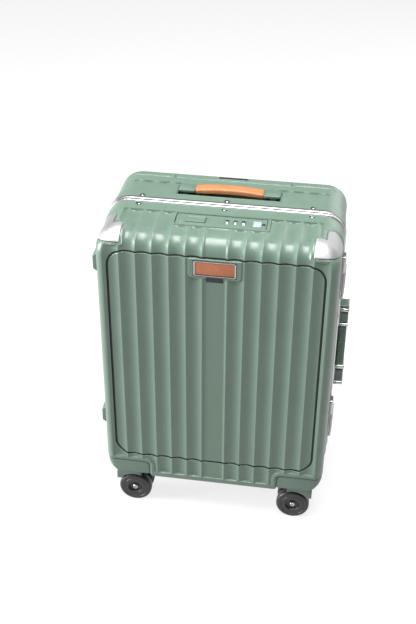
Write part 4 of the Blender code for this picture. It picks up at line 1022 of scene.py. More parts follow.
def guard_sheet(hand):
    """A corner guard's outer face: columns run along the case's section between the guard's edges."""
    fine = 0.149 + np.array((0, 0.0001, 0.0003, 0.0006, 0.0010, 0.0016, 0.0030, 0.0050))
    p = np.concatenate((fine, np.linspace(0.156, 0.1655, 7), np.linspace(0.1660, 0.1700, 12),
                        np.linspace(0.1710, 0.1860, 14), np.linspace(0.1865, 0.18975, 12)))
    u = np.linspace(0.5, 0.68, 3601)[None, :]
    depth, z, _ = around(FRONT, p[:, None], u, 0.0)
    inside = (guard_distance(p[:, None], DEPTH[FRONT] - depth, z) < 0) & (depth > 0.01)
    found = inside.any(axis=1)
    p, inside = p[found], inside[found]
    first, last = inside.argmax(axis=1), inside.shape[1] - 1 - inside[:, ::-1].argmax(axis=1)
    low, high = u[0][first], u[0][last]
    near = np.array((0, 0.0001, 0.0003, 0.0006, 0.0010, 0.0016))
    span = (high - low)[:, None]
    steps = np.minimum(near[None, :], span * np.linspace(0, 0.2, 6)[None, :])
    middle = low[:, None] + span * np.linspace(0.22, 0.78, 26)[None, :]
    rows = np.concatenate((low[:, None] + steps, middle, high[:, None] - steps[:, ::-1]), axis=1)
    rows.sort(axis=1)
    pp = p[:, None] + 0 * rows
    depth, z, angle = around(FRONT, pp, rows, 0.0)
    slope = lean(FRONT, pp, angle, np.zeros_like(rows, bool))
    normal = np.stack((slope, np.cos(angle), np.sin(angle)), axis=-1)
    normal /= np.linalg.norm(normal, axis=-1)[..., None]
    inner = -guard_distance(pp, DEPTH[FRONT] - depth, z)
    points = np.stack((pp, depth, z), axis=-1)
    points = points + normal * (0.0004 - edge_drop(np.maximum(inner, 0), 0.0009))[..., None]
    points[..., 0] *= hand
    return placed(FRONT, points).reshape(-1, 3), grid_faces(*rows.shape)


def outline_xz(half, low, high, low_radius, high_radius, steps=20):
    """The case's rounded outline seen from the front, anticlockwise from the lower right."""
    turn = np.radians(np.linspace(0, 90, steps + 1))
    corners = ((half - low_radius, low + low_radius, low_radius, -90),
               (half - high_radius, high - high_radius, high_radius, 0),
               (-half + high_radius, high - high_radius, high_radius, 90),
               (-half + low_radius, low + low_radius, low_radius, 180))
    points = []
    for x, z, radius, begin in corners:
        a = turn + math.radians(begin)
        points.append(np.stack((x + radius * np.cos(a), z + radius * np.sin(a)), axis=-1))
    return np.concatenate(points)


def case_ring(profile, side):
    """A closed (sideways, up, depth) profile carried round the case's outline."""
    loops = []
    for sideways, up, depth in profile:
        radii = (BOTTOM_CORNER + up, TOP_CORNER + up)
        xz = outline_xz(HALF_WIDTH + sideways, BOTTOM - up, TOP + up, *radii)
        loops.append(np.stack((xz[:, 0], side * depth + 0 * xz[:, 0], xz[:, 1]), axis=-1))
    return ring_round(loops)


def frame_profile(bulge):
    """The frame's section: a rounded lip, its back, the flange inside, and a chamfer at the joint."""
    side, up, half = LIP_SIDE, LIP_UP, LIP_HALF
    inside, inner = -0.0069, -0.0089
    lip = []
    for share in np.linspace(0, 1, 9):
        drop = bulge * (2 * share - 1) ** 4
        lip.append((side - drop, up - drop, 0.0009 + (half - 0.0012) * share))
    return [(side - 0.0014, up - 0.0014, JOINT), *lip, (side - 0.0012, up - 0.0012, half),
            (inside, inside, half), (inside, inside, 0.022), (inner, inner, 0.022), (inner, inner, JOINT)]


RIVETS = {FRONT: 0.0156, REAR: 0.0132}  # distance from the joint
SIDE_RIVETS = {-1: {FRONT: (0.130, 0.310, 0.490), REAR: (0.130, 0.310, 0.490)},
               1: {FRONT: (0.225, 0.375), REAR: (0.150, 0.470)}}
RIVET_RADIUS, RIVET_DOME, RIVET_ROOT = 0.0033, 0.0013, -0.0004


def rivet_parts(side, sizes, dome):
    """Rivets along the frame: domed heads, or the black rings round them that paint the shade round each
    dome.
    """
    if dome:
        turn = np.radians(np.linspace(0, 90, 6))
        profile = [(RIVET_RADIUS * math.cos(a), RIVET_DOME * math.sin(a)) for a in turn[:-1]]
        profile = [(RIVET_RADIUS, RIVET_ROOT), *profile, (0.0, RIVET_DOME)]
    else:
        profile = [(0.0046, RIVET_ROOT), (0.0046, 0.0001), (0.0043, 0.0003), (0.0, 0.0003)]
    profile = [(0.0, RIVET_ROOT), *profile]
    y = side * RIVETS[side]
    parts = []
    for x in (-0.138, 0.0, 0.138):
        parts.append(lathe(profile, (x, y, TOP), "z", 24))
        if abs(x) < 0.1:
            parts.append(lathe(profile, (x, y, BOTTOM), "z", 24, mirror=-1))
    for hand, sides in SIDE_RIVETS.items():
        for z in sides[side]:
            wall = hand * (HALF_WIDTH + sizes.side_step)
            parts.append(lathe(profile, (wall, y, z), "x", 24, mirror=hand))
    return parts


def housing_part(x_side, y_side):
    """A wheel housing: rings of a rounded plan whose sides follow the case's lower corner.

    Towards the top the inner side draws in on a quarter circle. The lower edge is rounded, and the
    whole stands back from the shell's surface.
    """
    back, top_start, top_round = 0.0012, 0.0905, 0.0078
    levels = [(0.0700, 0.0030), (0.0704, 0.0018), (0.0712, 0.0008), (0.0724, 0.0002), (0.0740, 0.0)]
    levels += [(z, 0.0) for z in np.linspace(0.0770, 0.0885, 6)]
    levels += [(top_start + 0.0077 * math.sin(math.radians(a)), 0.0) for a in range(0, 91, 15)]
    rings = []
    turn = np.linspace(0, math.pi / 2, 9)
    for z, inset in levels:
        rise = top_round - math.sqrt(max(top_round**2 - max(z - top_start, 0) ** 2, 0))
        p0 = HOUSING[0] + 0.0004 + rise + inset
        fall = max(BOTTOM + BOTTOM_CORNER - z, 0)
        p1 = HALF_WIDTH - back * 0.5 - (BOTTOM_CORNER - math.sqrt(BOTTOM_CORNER**2 - fall**2)) - inset
        under = max(BOTTOM + BOTTOM_ROUND - z, 0)
        d1 = DEPTH[y_side] - back - (BOTTOM_ROUND - math.sqrt(BOTTOM_ROUND**2 - under**2)) - inset
        d0 = HOUSING[1] + 0.0003 + inset
        rx, ry, r = SIDE_ROUND_X, SIDE_ROUND_Y, 0.0025
        corner = [np.stack((p1 - rx + rx * np.cos(turn), d1 - ry + ry * np.sin(turn)), -1),
                  np.stack((p0 + r - r * np.sin(turn), d1 - r + r * np.cos(turn)), -1),
                  np.stack((p0 + r - r * np.cos(turn), d0 + r - r * np.sin(turn)), -1),
                  np.stack((p1 - r + r * np.sin(turn), d0 + r - r * np.cos(turn)), -1)]
        plan = np.concatenate(corner)
        rings.append(np.stack((x_side * plan[:, 0], y_side * plan[:, 1], 0 * plan[:, 0] + z), axis=-1))
    return capped(rings)


CASTER_X, CASTER_IN, WHEEL_TRAIL, WHEEL_Z, WHEEL_RADIUS = 0.156, 0.0304, 0.0145, 0.0270, 0.0290
WHEEL_WIDE, WHEEL_GAP = 0.0165, 0.0090


def fork_parts(x_side, y_side):
    """A caster fork: a hood over both wheels with a wheel arch, a disc between them, axle and stem."""
    px, py = x_side * CASTER_X, y_side * (DEPTH[y_side] - CASTER_IN)
    reach = WHEEL_RADIUS + 0.0020
    turn = np.radians(np.linspace(0, 90, 8))
    near, far, skirt, shoulder, radius = 0.0180, 0.0260, 0.0460, 0.0595, 0.009
    arch_start = math.asin((skirt - WHEEL_Z) / reach)
    arch_end = math.pi - math.acos((far - WHEEL_TRAIL) / reach)
    arch = np.linspace(arch_end, arch_start, 24)
    outline = [(near, skirt)]
    outline += [(near - radius + radius * math.cos(a), shoulder + radius * math.sin(a)) for a in turn]
    outline += [(radius - far - radius * math.sin(a), shoulder + radius * math.cos(a)) for a in turn]
    outline += [(-WHEEL_TRAIL + reach * math.cos(a), WHEEL_Z + reach * math.sin(a)) for a in arch]
    outline = np.array(outline) * (x_side, 1) + (px, 0)
    if x_side < 0:
        outline = outline[::-1]
    width = WHEEL_GAP / 2 + WHEEL_WIDE
    levels = soft_levels(-width, width, 0.0016, 4)
    zx = outline[:, ::-1][::-1]
    hood = block(zx, levels, "y", (0, py, 0))
    wx = px - x_side * WHEEL_TRAIL
    disc = [(0, -0.0032), (0.0200, -0.0032), (0.0205, -0.0027)]
    disc += [(radius, -height) for radius, height in disc[::-1]]
    web = lathe(disc, (wx, py, WHEEL_Z), "y", 40)
    pin = [(0, 0.060), (0.0060, 0.060), (0.0060, 0.0700), (0.0075, 0.0702), (0.0075, 0.0697), (0.0060, 0.084),
           (0, 0.084)]
    stem = lathe(pin, (px, py, 0), "z", 24)
    return [hood, web], [stem]


def wheel_profile():
    """The tyre and hub from the inner side outwards: rounded tread, side wall step, dished hub, cap."""
    half, r = WHEEL_WIDE / 2, WHEEL_RADIUS
    turn = np.radians(np.linspace(0, 90, 7))
    shoulder = 0.0048
    profile = [(0.0033, -half), (0.0165, -half), (0.0170, -half + 0.0006), (0.0195, -half + 0.0006),
               (0.0200, -half)]
    profile += [(r - shoulder + shoulder * math.sin(a), -half + shoulder - shoulder * math.cos(a))
                for a in turn]
    profile += [(r - shoulder + shoulder * math.cos(a), half - shoulder + shoulder * math.sin(a))
                for a in turn]
    profile += [(0.0215, half), (0.0211, half - 0.0005), (0.0200, half - 0.0005), (0.0196, half),
                (0.0135, half + 0.0002), (0.0126, half - 0.0004), (0.0112, half - 0.0038),
                (0.0105, half - 0.0043), (0.0064, half - 0.0043), (0.0060, half - 0.0036),
                (0.0033, half - 0.0036)]
    return profile + [profile[0]]


def bolt_profile():
    """The wheel bolt's head, sunk in the hub, with a socket in its middle."""
    half = WHEEL_WIDE / 2
    return [(0.0, half - 0.0046), (0.0046, half - 0.0046), (0.0046, half - 0.0020), (0.0040, half - 0.0013),
            (0.0022, half - 0.0012), (0.0019, half - 0.0024), (0.0, half - 0.0024)]


class CaseOperator:
    """What the operators share: the sizes chosen in the sidebar."""

    bl_options = {"REGISTER", "UNDO"}

    @property
    def sizes(self):
        return bpy.context.scene.suitcase_sizes


class SUITCASE_OT_shells(CaseOperator, bpy.types.Operator):
    """Make both ribbed shells with their thickness, openings and wheel housing seats"""

    bl_idname = "suitcase.shells"
    bl_label = "Shells"

    def execute(self, context):
        sizes = self.sizes
        hole = DOOR[0] + SEAM / 2
        turn = np.radians(np.linspace(8, 86, 12))
        keys = [hole, hole + 0.0003, hole + 0.0007, hole + 0.0011, LOCK[0], 0.0760, 0.0770, 0.0780,
                0.1110, 0.1112, 0.1118, 0.1445, 0.1455, 0.1487, 0.1493, 0.158, 0.1585,
                *(hole - 0.0292 * (1 - np.sin(turn)))]
        rows = [LOCK[1], LOCK[2], 0.0324, 0.0328, 0.0332, 0.0337, 0.0346, 0.0725, 0.0730, 0.0810, 0.0814]
        front = shell_parts(FRONT, sizes, front_hollow, keys, rows, LOCK)
        keys = [POCKET[0], TROLLEY_CUT[0], 0.0720, 0.0750, 0.1000, 0.1020, 0.1110, 0.1118, 0.1610, 0.1690,
                0.1710]
        rows = [POCKET[1], POCKET[2], TROLLEY_CUT[1], 0.0555, 0.0575, 0.0660, 0.0664, 0.0668, 0.0775, 0.0780,
                0.0785, 0.0865, 0.0870, 0.0875]
        rear = shell_parts(REAR, sizes, rear_hollow, keys, rows, POCKET)
        for side, word, parts in ((FRONT, "front", front), (REAR, "rear", rear)):
            shell = add_piece(f"{word}_case_shell", parts, finish("sage_shell"), f"{word}_half",
                              (f"{word}_shell",), 32)
            thicken(shell, sizes.wall, 32)
            seats = [housing_seat(hand, side) for hand in (-1, 1)]
            cut(shell, seats, 32)
            # The wheel wells take the darkened copy of the green, which is painted shade inside the case.
            wells = [part for hand in (-1, 1) for part in wheel_well(hand, side)]
            add_piece(f"{word}_wheel_wells", wells, finish("sage_painted_shade"), f"{word}_half")
        return {"FINISHED"}


def housing_seat(x_side, y_side):
    """The space of a wheel housing, with its upper inner corner rounded."""
    turn = np.radians(np.linspace(0, 90, 10))
    x0, x1, z0, z1, round_x = HOUSING[0], HALF_WIDTH + 0.02, 0.03, HOUSING[2], HOUSING[0] + SEAT_CORNER
    xz = [(x1, z0), (x1, z1)]
    xz += [(round_x - SEAT_CORNER * math.sin(a), z1 - SEAT_CORNER * (1 - math.cos(a))) for a in turn]
    xz = np.array([*xz, (x0, z0)]) * (x_side, 1)
    return plate(xz, y_side * HOUSING[1], y_side * (DEPTH[y_side] + 0.03), (0, 2))


def plate(outline, low, high, axes):
    """A flat plate: an outline in two axes carried from low to high along the third."""
    ends = []
    for level in (low, high):
        end = np.zeros((len(outline), 3))
        end[:, axes[0]], end[:, axes[1]] = np.array(outline).T
        end[:, 3 - axes[0] - axes[1]] = level
        ends.append(end)
    return capped(ends)


def wheel_well(x_side, y_side):
    """Thin walls and a ceiling that close the case's inside over a wheel housing.

    The wall across the case follows the lower corner's circle, 2 mm inside the shell.
    """
    p0, p1 = HOUSING[0] - 0.0016, HALF_WIDTH - 0.0028
    d0, d1 = HOUSING[1] - 0.0016, DEPTH[y_side] - 0.0062
    low, high, thick = BOTTOM + 0.0024, HOUSING[2] + 0.0002, 0.0013
    turn = np.radians(np.linspace(-88, 0, 12))
    radius = BOTTOM_CORNER - 0.0022
    centre = (HALF_WIDTH - BOTTOM_CORNER, BOTTOM + BOTTOM_CORNER)
    arc = [(centre[0] + radius * math.cos(a), centre[1] + radius * math.sin(a)) for a in turn]
    across = [(p0, low), *arc, (p1, high + thick), (p0, high + thick)]
    along = [(d0, low), (d1 - 0.004, low), (d1, low + 0.004), (d1, high + thick), (d0, high + thick)]
    over = [(p0, d0), (p1, d0), (p1, d1 - 0.013), (p1 - 0.009, d1), (p0, d1)]
    parts = [plate(across, d0, d0 + thick, (0, 2)), plate(along, p0, p0 + thick, (1, 2)),
             plate(over, high, high + thick, (0, 1))]
    return [(points * np.array((x_side, y_side, 1.0)), faces) for points, faces in parts]


class SUITCASE_OT_door(CaseOperator, bpy.types.Operator):
    """Make the front door's panel, cloth back and badge, and the gasket round its opening"""

    bl_idname = "suitcase.door"
    bl_label = "Door and badge"

    def execute(self, context):
        add_piece("front_door", [door_sheet(self.sizes)], finish("sage_shell"), "door", ("door_panel",),
                  32)
        face = -DEPTH[FRONT]
        lined = soft_box((-0.155, face + 0.0062, 0.128), (0.155, face + 0.0074, 0.490), 0.0005, "y", 0.02)
        add_piece("door_cloth", [lined], finish("lining_cloth"), "door")
        rim = rounded_outline(0.0134, 0.0330, 0.0026, 5)
        levels = [(0.0006, -0.0023), (0.0, -0.0020), (0.0, -0.0002), (0.0002, 0.0003), (0.0007, 0.0006),
                  (0.0015, 0.0006), (0.0021, 0.0002), (0.0022, -0.0010)]
        add_piece("badge_surround", [badge_block(rim, levels)], finish("bright_metal"), "door",
                  ("badge_frame",))
        patch = rounded_outline(0.0109, 0.0305, 0.0012, 4)
        levels = [(0.0003, -0.0011), (0.0, -0.0008), (0.0, -0.0004), (0.0003, -0.0001), (0.0008, 0.00005),
                  (0.0011, 0.0001)]
        add_piece("badge_patch", [badge_block(patch, levels)], finish("badge_leather"), "door",
                  ("badge_leather",))
        # A black sheet on the finger notch's floor: painted shade in the notch's hollow.
        lip = soft_box((-0.0131, face + 0.0028, 0.4819), (0.0131, face + 0.0036, 0.4911), 0.0003, "y", 0.0008)
        add_piece("notch_shade_sheet", [lip], finish("black_plastic"), "door")
        add_piece("door_gasket", [gasket_ring()], finish("seal_rubber"), "front_half", ("door_seal",),
                  50)
        paint_nodes({"door_catch": "bright_metal"})
        return {"FINISHED"}


def gasket_ring():
    """The rubber round the door's opening: a flat strip behind the door and a bead up in the seam."""
    front = DEPTH[FRONT]
    seam = SEAM / 2
    profile = ((seam + 0.0010, front - 0.0068), (seam + 0.0010, front - 0.0097), (-0.0080, front - 0.0097),
               (-0.0080, front - 0.0068), (-seam + 0.0003, front - 0.0066), (-seam + 0.0003, front - 0.0050),
               (-0.0004, front - 0.0044), (0.0004, front - 0.0044), (seam - 0.0003, front - 0.0050),
               (seam - 0.0003, front - 0.0066))
    loops = []
    for grow, depth in profile:
        radius = DOOR[3] + grow
        xz = outline_xz(DOOR[0] + grow, DOOR[1] - grow, DOOR[2] + grow, radius, radius, 14)
        loops.append(np.stack((xz[:, 0], -depth + 0 * xz[:, 0], xz[:, 1]), axis=-1))
    return ring_round(loops)


def badge_block(outline, levels):
    """A (z, x) outline drawn in level by level, about the badge's middle; levels are (inset, rise)
    from the door's face towards the front."""
    normal = outward(outline)
    rings = []
    for inset, rise in levels:
        depth = DEPTH[FRONT] + rise
        ring = outline - inset * normal
        rings.append(np.stack((ring[:, 1], 0 * ring[:, 0] - depth, BADGE[1] + ring[:, 0]), axis=-1))
    return capped(rings)


def paint_nodes(finishes):
    """Gives CAD nodes that keep their shape one of the finishes."""
    for node, name in finishes.items():
        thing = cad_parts[node]
        thing.data.materials.clear()
        thing.data.materials.append(finish(name))


class SUITCASE_OT_frame(CaseOperator, bpy.types.Operator):
    """Make the aluminium frame's two halves and the rivets beside it"""

    bl_idname = "suitcase.frame"
    bl_label = "Frame and rivets"

    def execute(self, context):
        # The rear ring takes the darker copy of the frame metal, which is painted shade.
        for side, word, metal in ((FRONT, "front", "frame_metal"), (REAR, "rear", "frame_metal_rear_shade")):
            body = f"{word}_half"
            add_piece(f"{word}_frame_ring", [case_ring(frame_profile(0.0007), side)], finish(metal), body,
                      (f"{word}_frame",), 40)
            add_piece(f"{word}_rivets", rivet_parts(side, self.sizes, True), finish("bright_metal"), body)
            # Black rings round the rivets: painted shade round each dome.
            add_piece(f"{word}_rivet_seats", rivet_parts(side, self.sizes, False), finish("black_plastic"),
                      body)
        return {"FINISHED"}


class SUITCASE_OT_guards(CaseOperator, bpy.types.Operator):
    """Make the two metal corner guards"""

    bl_idname = "suitcase.guards"
    bl_label = "Corner guards"

    def execute(self, context):
        for hand, word in ((-1, "left"), (1, "right")):
            guard = add_piece(f"{word}_corner_metal", [guard_sheet(hand)], finish("guard_metal"),
                              "front_half", (f"corner_guard_{word}",), 50)
            thicken(guard, self.sizes.guard_wall, 50)
        return {"FINISHED"}


class SUITCASE_OT_lock(CaseOperator, bpy.types.Operator):
    """Make the lock's panel, button, dials and key cylinder"""

    bl_idname = "suitcase.lock"
    bl_label = "Lock"

    def execute(self, context):
        x, near, far = LOCK
        y = -(near + far) / 2
        half = (far - near) / 2 - 0.0003
        top = TOP - 0.0006
        outline = rounded_outline(x - 0.0009, half - 0.0006, 0.0028, 5)
        levels = [(0.0005, TOP - 0.0172), (0.0, TOP - 0.0168), (0.0, TOP - 0.0014), (0.0003, TOP - 0.0008),
                  (0.0008, top), (0.0018, top), (0.0023, top - 0.0007)]
        panel = add_piece("lock_panel", [block(outline, levels, "z", (0, y, 0))], finish("sage_shell"),
                          "front_half", ("lock_housing",))
        over = TOP + 0.01
        dials = [DIAL_X + i * DIAL_PITCH for i in range(3)]
        low, high = (-0.0562, y - 0.0092, TOP - 0.0150), (-0.0238, y + 0.0092, over)
        wells = [soft_box(low, high, 0.0004, "z", 0.0022)]
        for dial in dials:
            low, high = (dial - 0.0030, y - 0.0074, TOP - 0.0155), (dial + 0.0030, y + 0.0074, over)
            wells.append(soft_box(low, high, 0.0003, "z", 0.001))
        bore = [(0, TOP - 0.0140), (0.0034, TOP - 0.0140), (0.0034, over), (0, over)]
        wells.append(lathe(bore, (KEY_X, y, 0), "z", 32))
        cut(panel, wells, 30)
        press = rounded_outline(0.0156, 0.0086, 0.0022, 5)
        rise = TOP + 0.0004
        levels = [(0.0004, rise - 0.0090), (0.0, rise - 0.0085), (0.0, rise - 0.0010),
                  (0.0003, rise - 0.0003), (0.0009, rise), (0.0014, rise), (0.0020, rise - 0.0005)]
        add_piece("lock_push", [block(press, levels, "z", (-0.040, y, 0))], finish("sage_fittings"),
                  "release_button", ("release_button",))
        axle_z = TOP - DIAL_RADIUS
        profile = [(0, -0.0025), (0.0060, -0.0025), (0.0068, -0.0022), (DIAL_RADIUS, -0.0016)]
        profile += [(radius, -height) for radius, height in profile[::-1]]
        for number, x in enumerate(dials, 1):
            dial = lathe(profile, (x, y, axle_z), "x", 120, wave=dial_notches)
            body = f"dial_{number}"
            add_piece(f"number_wheel_{number}", [dial], finish("dark_metal"), body, (body,))
            figures(f"figures_{number}", x, y, axle_z, body)
        key = [(0, TOP - 0.0134), (0.0031, TOP - 0.0134), (0.0031, TOP - 0.0014), (0.0028, TOP - 0.0010),
               (0, TOP - 0.0010)]
        barrel = add_piece("key_barrel", [lathe(key, (KEY_X, y, 0), "z", 40)], finish("bright_metal"),
                           "key_cylinder", ("key_cylinder",))
        low, high = (KEY_X - 0.0005, y - 0.0021, TOP - 0.006), (KEY_X + 0.0005, y + 0.0021, TOP + 0.002)
        cut(barrel, [soft_box(low, high, 0.0002, "z", 0.0003)], 30)
        cover = rounded_outline(0.0062, 0.0082, 0.0008, 4, (LOCK_PLATE_X, y))
        levels = [(0.0, TOP - 0.0016), (0.0, TOP - 0.0010), (0.0003, TOP - 0.0007), (0.0010, TOP - 0.0007)]
        add_piece("lock_plate", [block(cover, levels, "z")], finish("grey_plate"), "front_half")
        return {"FINISHED"}


DIAL_RADIUS = 0.0070


def dial_notches(angle, height):
    """Twenty shallow hollows round a dial's rim: the square of a cosine's upper half."""
    return -0.00035 * np.maximum(np.cos(angle * 20), 0) ** 2 * (np.abs(height) < 0.0019)


def figures(name, x, y, z, body):
    """The figures 0 to 9 round a dial, each a flat text laid on the rim at its own angle."""
    points, faces, start = [], [], 0
    for figure in range(10):
        curve = bpy.data.curves.new("figure", "FONT")
        curve.body = str(figure)
        curve.size = 0.0040
        curve.align_x, curve.align_y = "CENTER", "CENTER"
        curve.extrude = 0.00006
        thing = bpy.data.objects.new("figure", curve)
        bpy.context.scene.collection.objects.link(thing)
        bpy.context.view_layer.update()
        mesh = bpy.data.meshes.new_from_object(thing.evaluated_get(bpy.context.evaluated_depsgraph_get()))
        lift = Matrix.Translation((0, 0, DIAL_RADIUS + 0.00004))
        mesh.transform(Matrix.Rotation(math.radians(36 * figure), 4, "X") @ lift)
        co = np.zeros(len(mesh.vertices) * 3)
        mesh.vertices.foreach_get("co", co)
        points.append(co.reshape(-1, 3) + (x, y, z))
        faces += [[start + i for i in face.vertices] for face in mesh.polygons]
        start += len(mesh.vertices)
        bpy.data.objects.remove(thing)
        bpy.data.curves.remove(curve)
    return add_piece(name, [(np.concatenate(points), faces)], finish("black_plastic"), body)


class SUITCASE_OT_top_handle(CaseOperator, bpy.types.Operator):
    """Make the leather grip, its end blocks, the pocket below and the stitching"""

    bl_idname = "suitcase.top_handle"
    bl_label = "Top handle"

    def execute(self, context):
        x, near, far = POCKET
        y = (near + far) / 2
        half = (far - near) / 2 - 0.0003
        outline = rounded_outline(x - 0.0003, half, 0.0030, 5)
        levels = [(0.0005, TOP - 0.0240), (0.0, TOP - 0.0235), (0.0, TOP - 0.0010), (0.0003, TOP - 0.0004),
                  (0.0007, TOP - 0.0003)]
        tray = add_piece("handle_pocket", [block(outline, levels, "z", (0, y, 0))], finish("sage_fittings"),
                         "rear_half", ("top_handle_tray",))
        near, far, end, over = near + 0.0019, far - 0.0019, x - 0.0019, TOP + 0.01
        rooms = [soft_box((-0.0580, near, TOP - 0.0224), (0.0580, far, over), 0.002, "z", 0.0035),
                 soft_box((-end, near, TOP - 0.0100), (end, far, over), 0.0012, "z", 0.0022)]
        for hand in (-1, 1):
            leg = hand * LEG_X
            rooms.append(soft_box((leg - 0.0056, HANDLE_Y - 0.0066, TOP - 0.03),
                                  (leg + 0.0056, HANDLE_Y + 0.0066, TOP), 0.0004, "z", 0.001))
        cut(tray, rooms, 30)
        top = HANDLE_TOP
        blocks = []
        for hand in (-1, 1):
            low, high = sorted((hand * (GRIP_HALF + 0.0001), hand * 0.0830))
            leg, pad = hand * LEG_X, hand * 0.0690
            blocks.append(soft_box((low, HANDLE_Y - 0.0110, top - 0.0050), (high, HANDLE_Y + 0.0110, top),
                                   0.0011, "z", 0.0022))
            blocks.append(soft_box((leg - 0.0050, HANDLE_Y - 0.0060, TOP - 0.0215),
                                   (leg + 0.0050, HANDLE_Y + 0.0060, top - 0.0020), 0.0006, "z", 0.001))
            blocks.append(soft_box((pad - 0.0100, HANDLE_Y - 0.0048, top - 0.0006),
                                   (pad + 0.0100, HANDLE_Y + 0.0048, top + 0.0003), 0.0004, "z", 0.0015))
        add_piece("handle_ends", blocks, finish("sage_fittings"), "top_handle", ("top_handle_bar",))
        grip = add_piece("leather_grip", [grip_part(self.sizes)], finish("handle_leather"), "top_handle",
                         ("top_handle_grip",), 60)
        add_piece("grip_stitching", stitch_parts(self.sizes), finish("thread"), "top_handle")
        return {"FINISHED"}


def grip_middle(sizes, share):
    """Height of the grip's top at a share -1 to 1 along it: a flat arch."""
    return HANDLE_TOP + 0.0010 + sizes.handle_arch * (1 - share**2)


def grip_part(sizes):
    """The leather grip: a crowned oblong section carried along an arch, pinched at both ends."""
    share = np.concatenate(((-1.0, -0.997, -0.990, -0.975), np.linspace(-0.95, 0.95, 41),
                            (0.975, 0.990, 0.997, 1.0)))
    angle = np.linspace(0, 2 * math.pi, 56, endpoint=False)
    top = grip_middle(sizes, share)
    low = HANDLE_TOP - 0.0075 + 0.4 * sizes.handle_arch * (1 - share**2)
    pinch = 1 - 0.10 * np.clip((np.abs(share) - 0.95) / 0.05, 0, 1) ** 2
    half_y, half_z = 0.0103 * pinch, (top - low) / 2 * pinch
    c, s = np.cos(angle), np.sin(angle)
    power = 0.42
    across = np.sign(c) * np.abs(c) ** power
    up = np.sign(s) * np.abs(s) ** (power + 0.18)
    yy = HANDLE_Y + half_y[:, None] * across[None, :]
    zz = ((top + low) / 2)[:, None] + half_z[:, None] * up[None, :]
    xx = (share * GRIP_HALF)[:, None] + 0 * yy
    return capped(np.stack((xx, yy, zz), axis=-1))


def stitch_parts(sizes):
    """Short threads in two rows along the grip's sides, each bent out like a parabola."""
    parts, half = [], 0.0011
    for side in (-1, 1):
        for middle in np.arange(-0.051, 0.0515, 0.0034):
            xs = np.linspace(middle - half, middle + half, 5)
            share = xs / GRIP_HALF
            bulge = 0.00025 * (1 - ((xs - middle) / half) ** 2)
            y = HANDLE_Y + side * (0.01028 + bulge)
            z = grip_middle(sizes, share) - 0.0062 - 0.25 * sizes.handle_arch * (1 - share**2)
            parts.append(tube(np.stack((xs, y, z), axis=-1), 0.00028, 6))
    return parts


class SUITCASE_OT_trolley(CaseOperator, bpy.types.Operator):
    """Make the pull-out handle's grip, its push bar and the surround, and finish its tubes"""

    bl_idname = "suitcase.trolley"
    bl_label = "Pull-out handle"

    def execute(self, context):
        grip = add_piece("pull_grip", [rear_wedge(-0.0957, 0.0957, 0.0846, 0.5325, 0.0)],
                         finish("sage_shell"), "trolley_grip")
        well = soft_box((-0.0241, 0.0909, TOP - 0.0132), (0.0241, 0.1041, TOP + 0.01), 0.0003, "z", 0.002)
        channel = soft_box((-0.0620, 0.0885, 0.5290), (0.0620, 0.1060, 0.5405), 0.003, "x", 0.004)
        cut(grip, [well, channel], 32)
        poles = []
        for hand in (-1, 1):
            pole = hand * LEG_X
            poles.append(soft_box((pole - 0.0082, 0.0935, 0.1180), (pole + 0.0082, 0.1015, 0.5345), 0.0010,
                                  "z", 0.0030))
        add_piece("pull_poles", poles, finish("tube_metal"), "trolley_grip", ("trolley_grip",))
        add_piece("pull_push", [rear_wedge(-0.0234, 0.0234, 0.0917, 0.5452, 0.0004, 0.1033)],
                  finish("black_plastic"), "trolley_button", ("trolley_button",))
        surround = add_piece("pull_surround", [rear_wedge(-0.0980, 0.0980, 0.0824, 0.5301, 0.0)],
                             finish("sage_fittings"), "rear_half", ("trolley_bezel",))
        room = soft_box((-0.0960, 0.0842, 0.5322), (0.0960, 0.14, TOP + 0.02), 0.0008, "y", 0.002)
        wells = [soft_box((pole - 0.0100, 0.0917, 0.52), (pole + 0.0100, 0.1033, 0.54), 0.0006, "z", 0.003)
                 for pole in (-LEG_X, LEG_X)]
        cut(surround, [room, *wells], 32)
        return {"FINISHED"}


def rear_wedge(x0, x1, near, low, drop, far=None):
    """A piece of the case behind a depth and above a height, under the rear rounding: a (depth, z)
    outline carried across, with rounded ends."""
    turn = np.radians(np.linspace(0, 90, 20))
    radius = TOP_ROUND[REAR] - drop
    centre = (DEPTH[REAR] - TOP_ROUND[REAR], TOP - TOP_ROUND[REAR])
    depth = centre[0] + radius * np.cos(turn)
    z = centre[1] + radius * np.sin(turn)
    if far is None:
        face = [(near, low), (DEPTH[REAR] - drop - 0.0004, low), (DEPTH[REAR] - drop, low + 0.0004)]
    else:
        face = [(near, low), (far, low)]
        keep = depth < far
        edge = math.sqrt(radius**2 - (far - centre[0]) ** 2) + centre[1]
        depth, z = np.append(far, depth[keep]), np.append(edge, z[keep])
    top = [(near + 0.0006, TOP - drop), (near, TOP - drop - 0.0006)]
    outline = np.array(face + list(zip(depth, z)) + top)
    return block(outline, soft_levels(x0, x1, 0.0006, 3), "x")


# Heights of the side fittings' middles
LATCHES = {"lower": 0.1625, "upper": 0.4530}
HINGES = {"lower": 0.190, "upper": 0.430}
FEET = {"lower": 0.1720, "upper": 0.4825}


class SUITCASE_OT_side_fittings(CaseOperator, bpy.types.Operator):
    """Make the latches, hinges, side handle and feet"""

    bl_idname = "suitcase.side_fittings"
    bl_label = "Latches, hinges, side handle and feet"

    def execute(self, context):
        for level, z in LATCHES.items():
            latch_pieces(z, level)
        for level, z in HINGES.items():
            hinge_pieces(z, level)
        side_handle_pieces()
        foot_pieces()
        return {"FINISHED"}


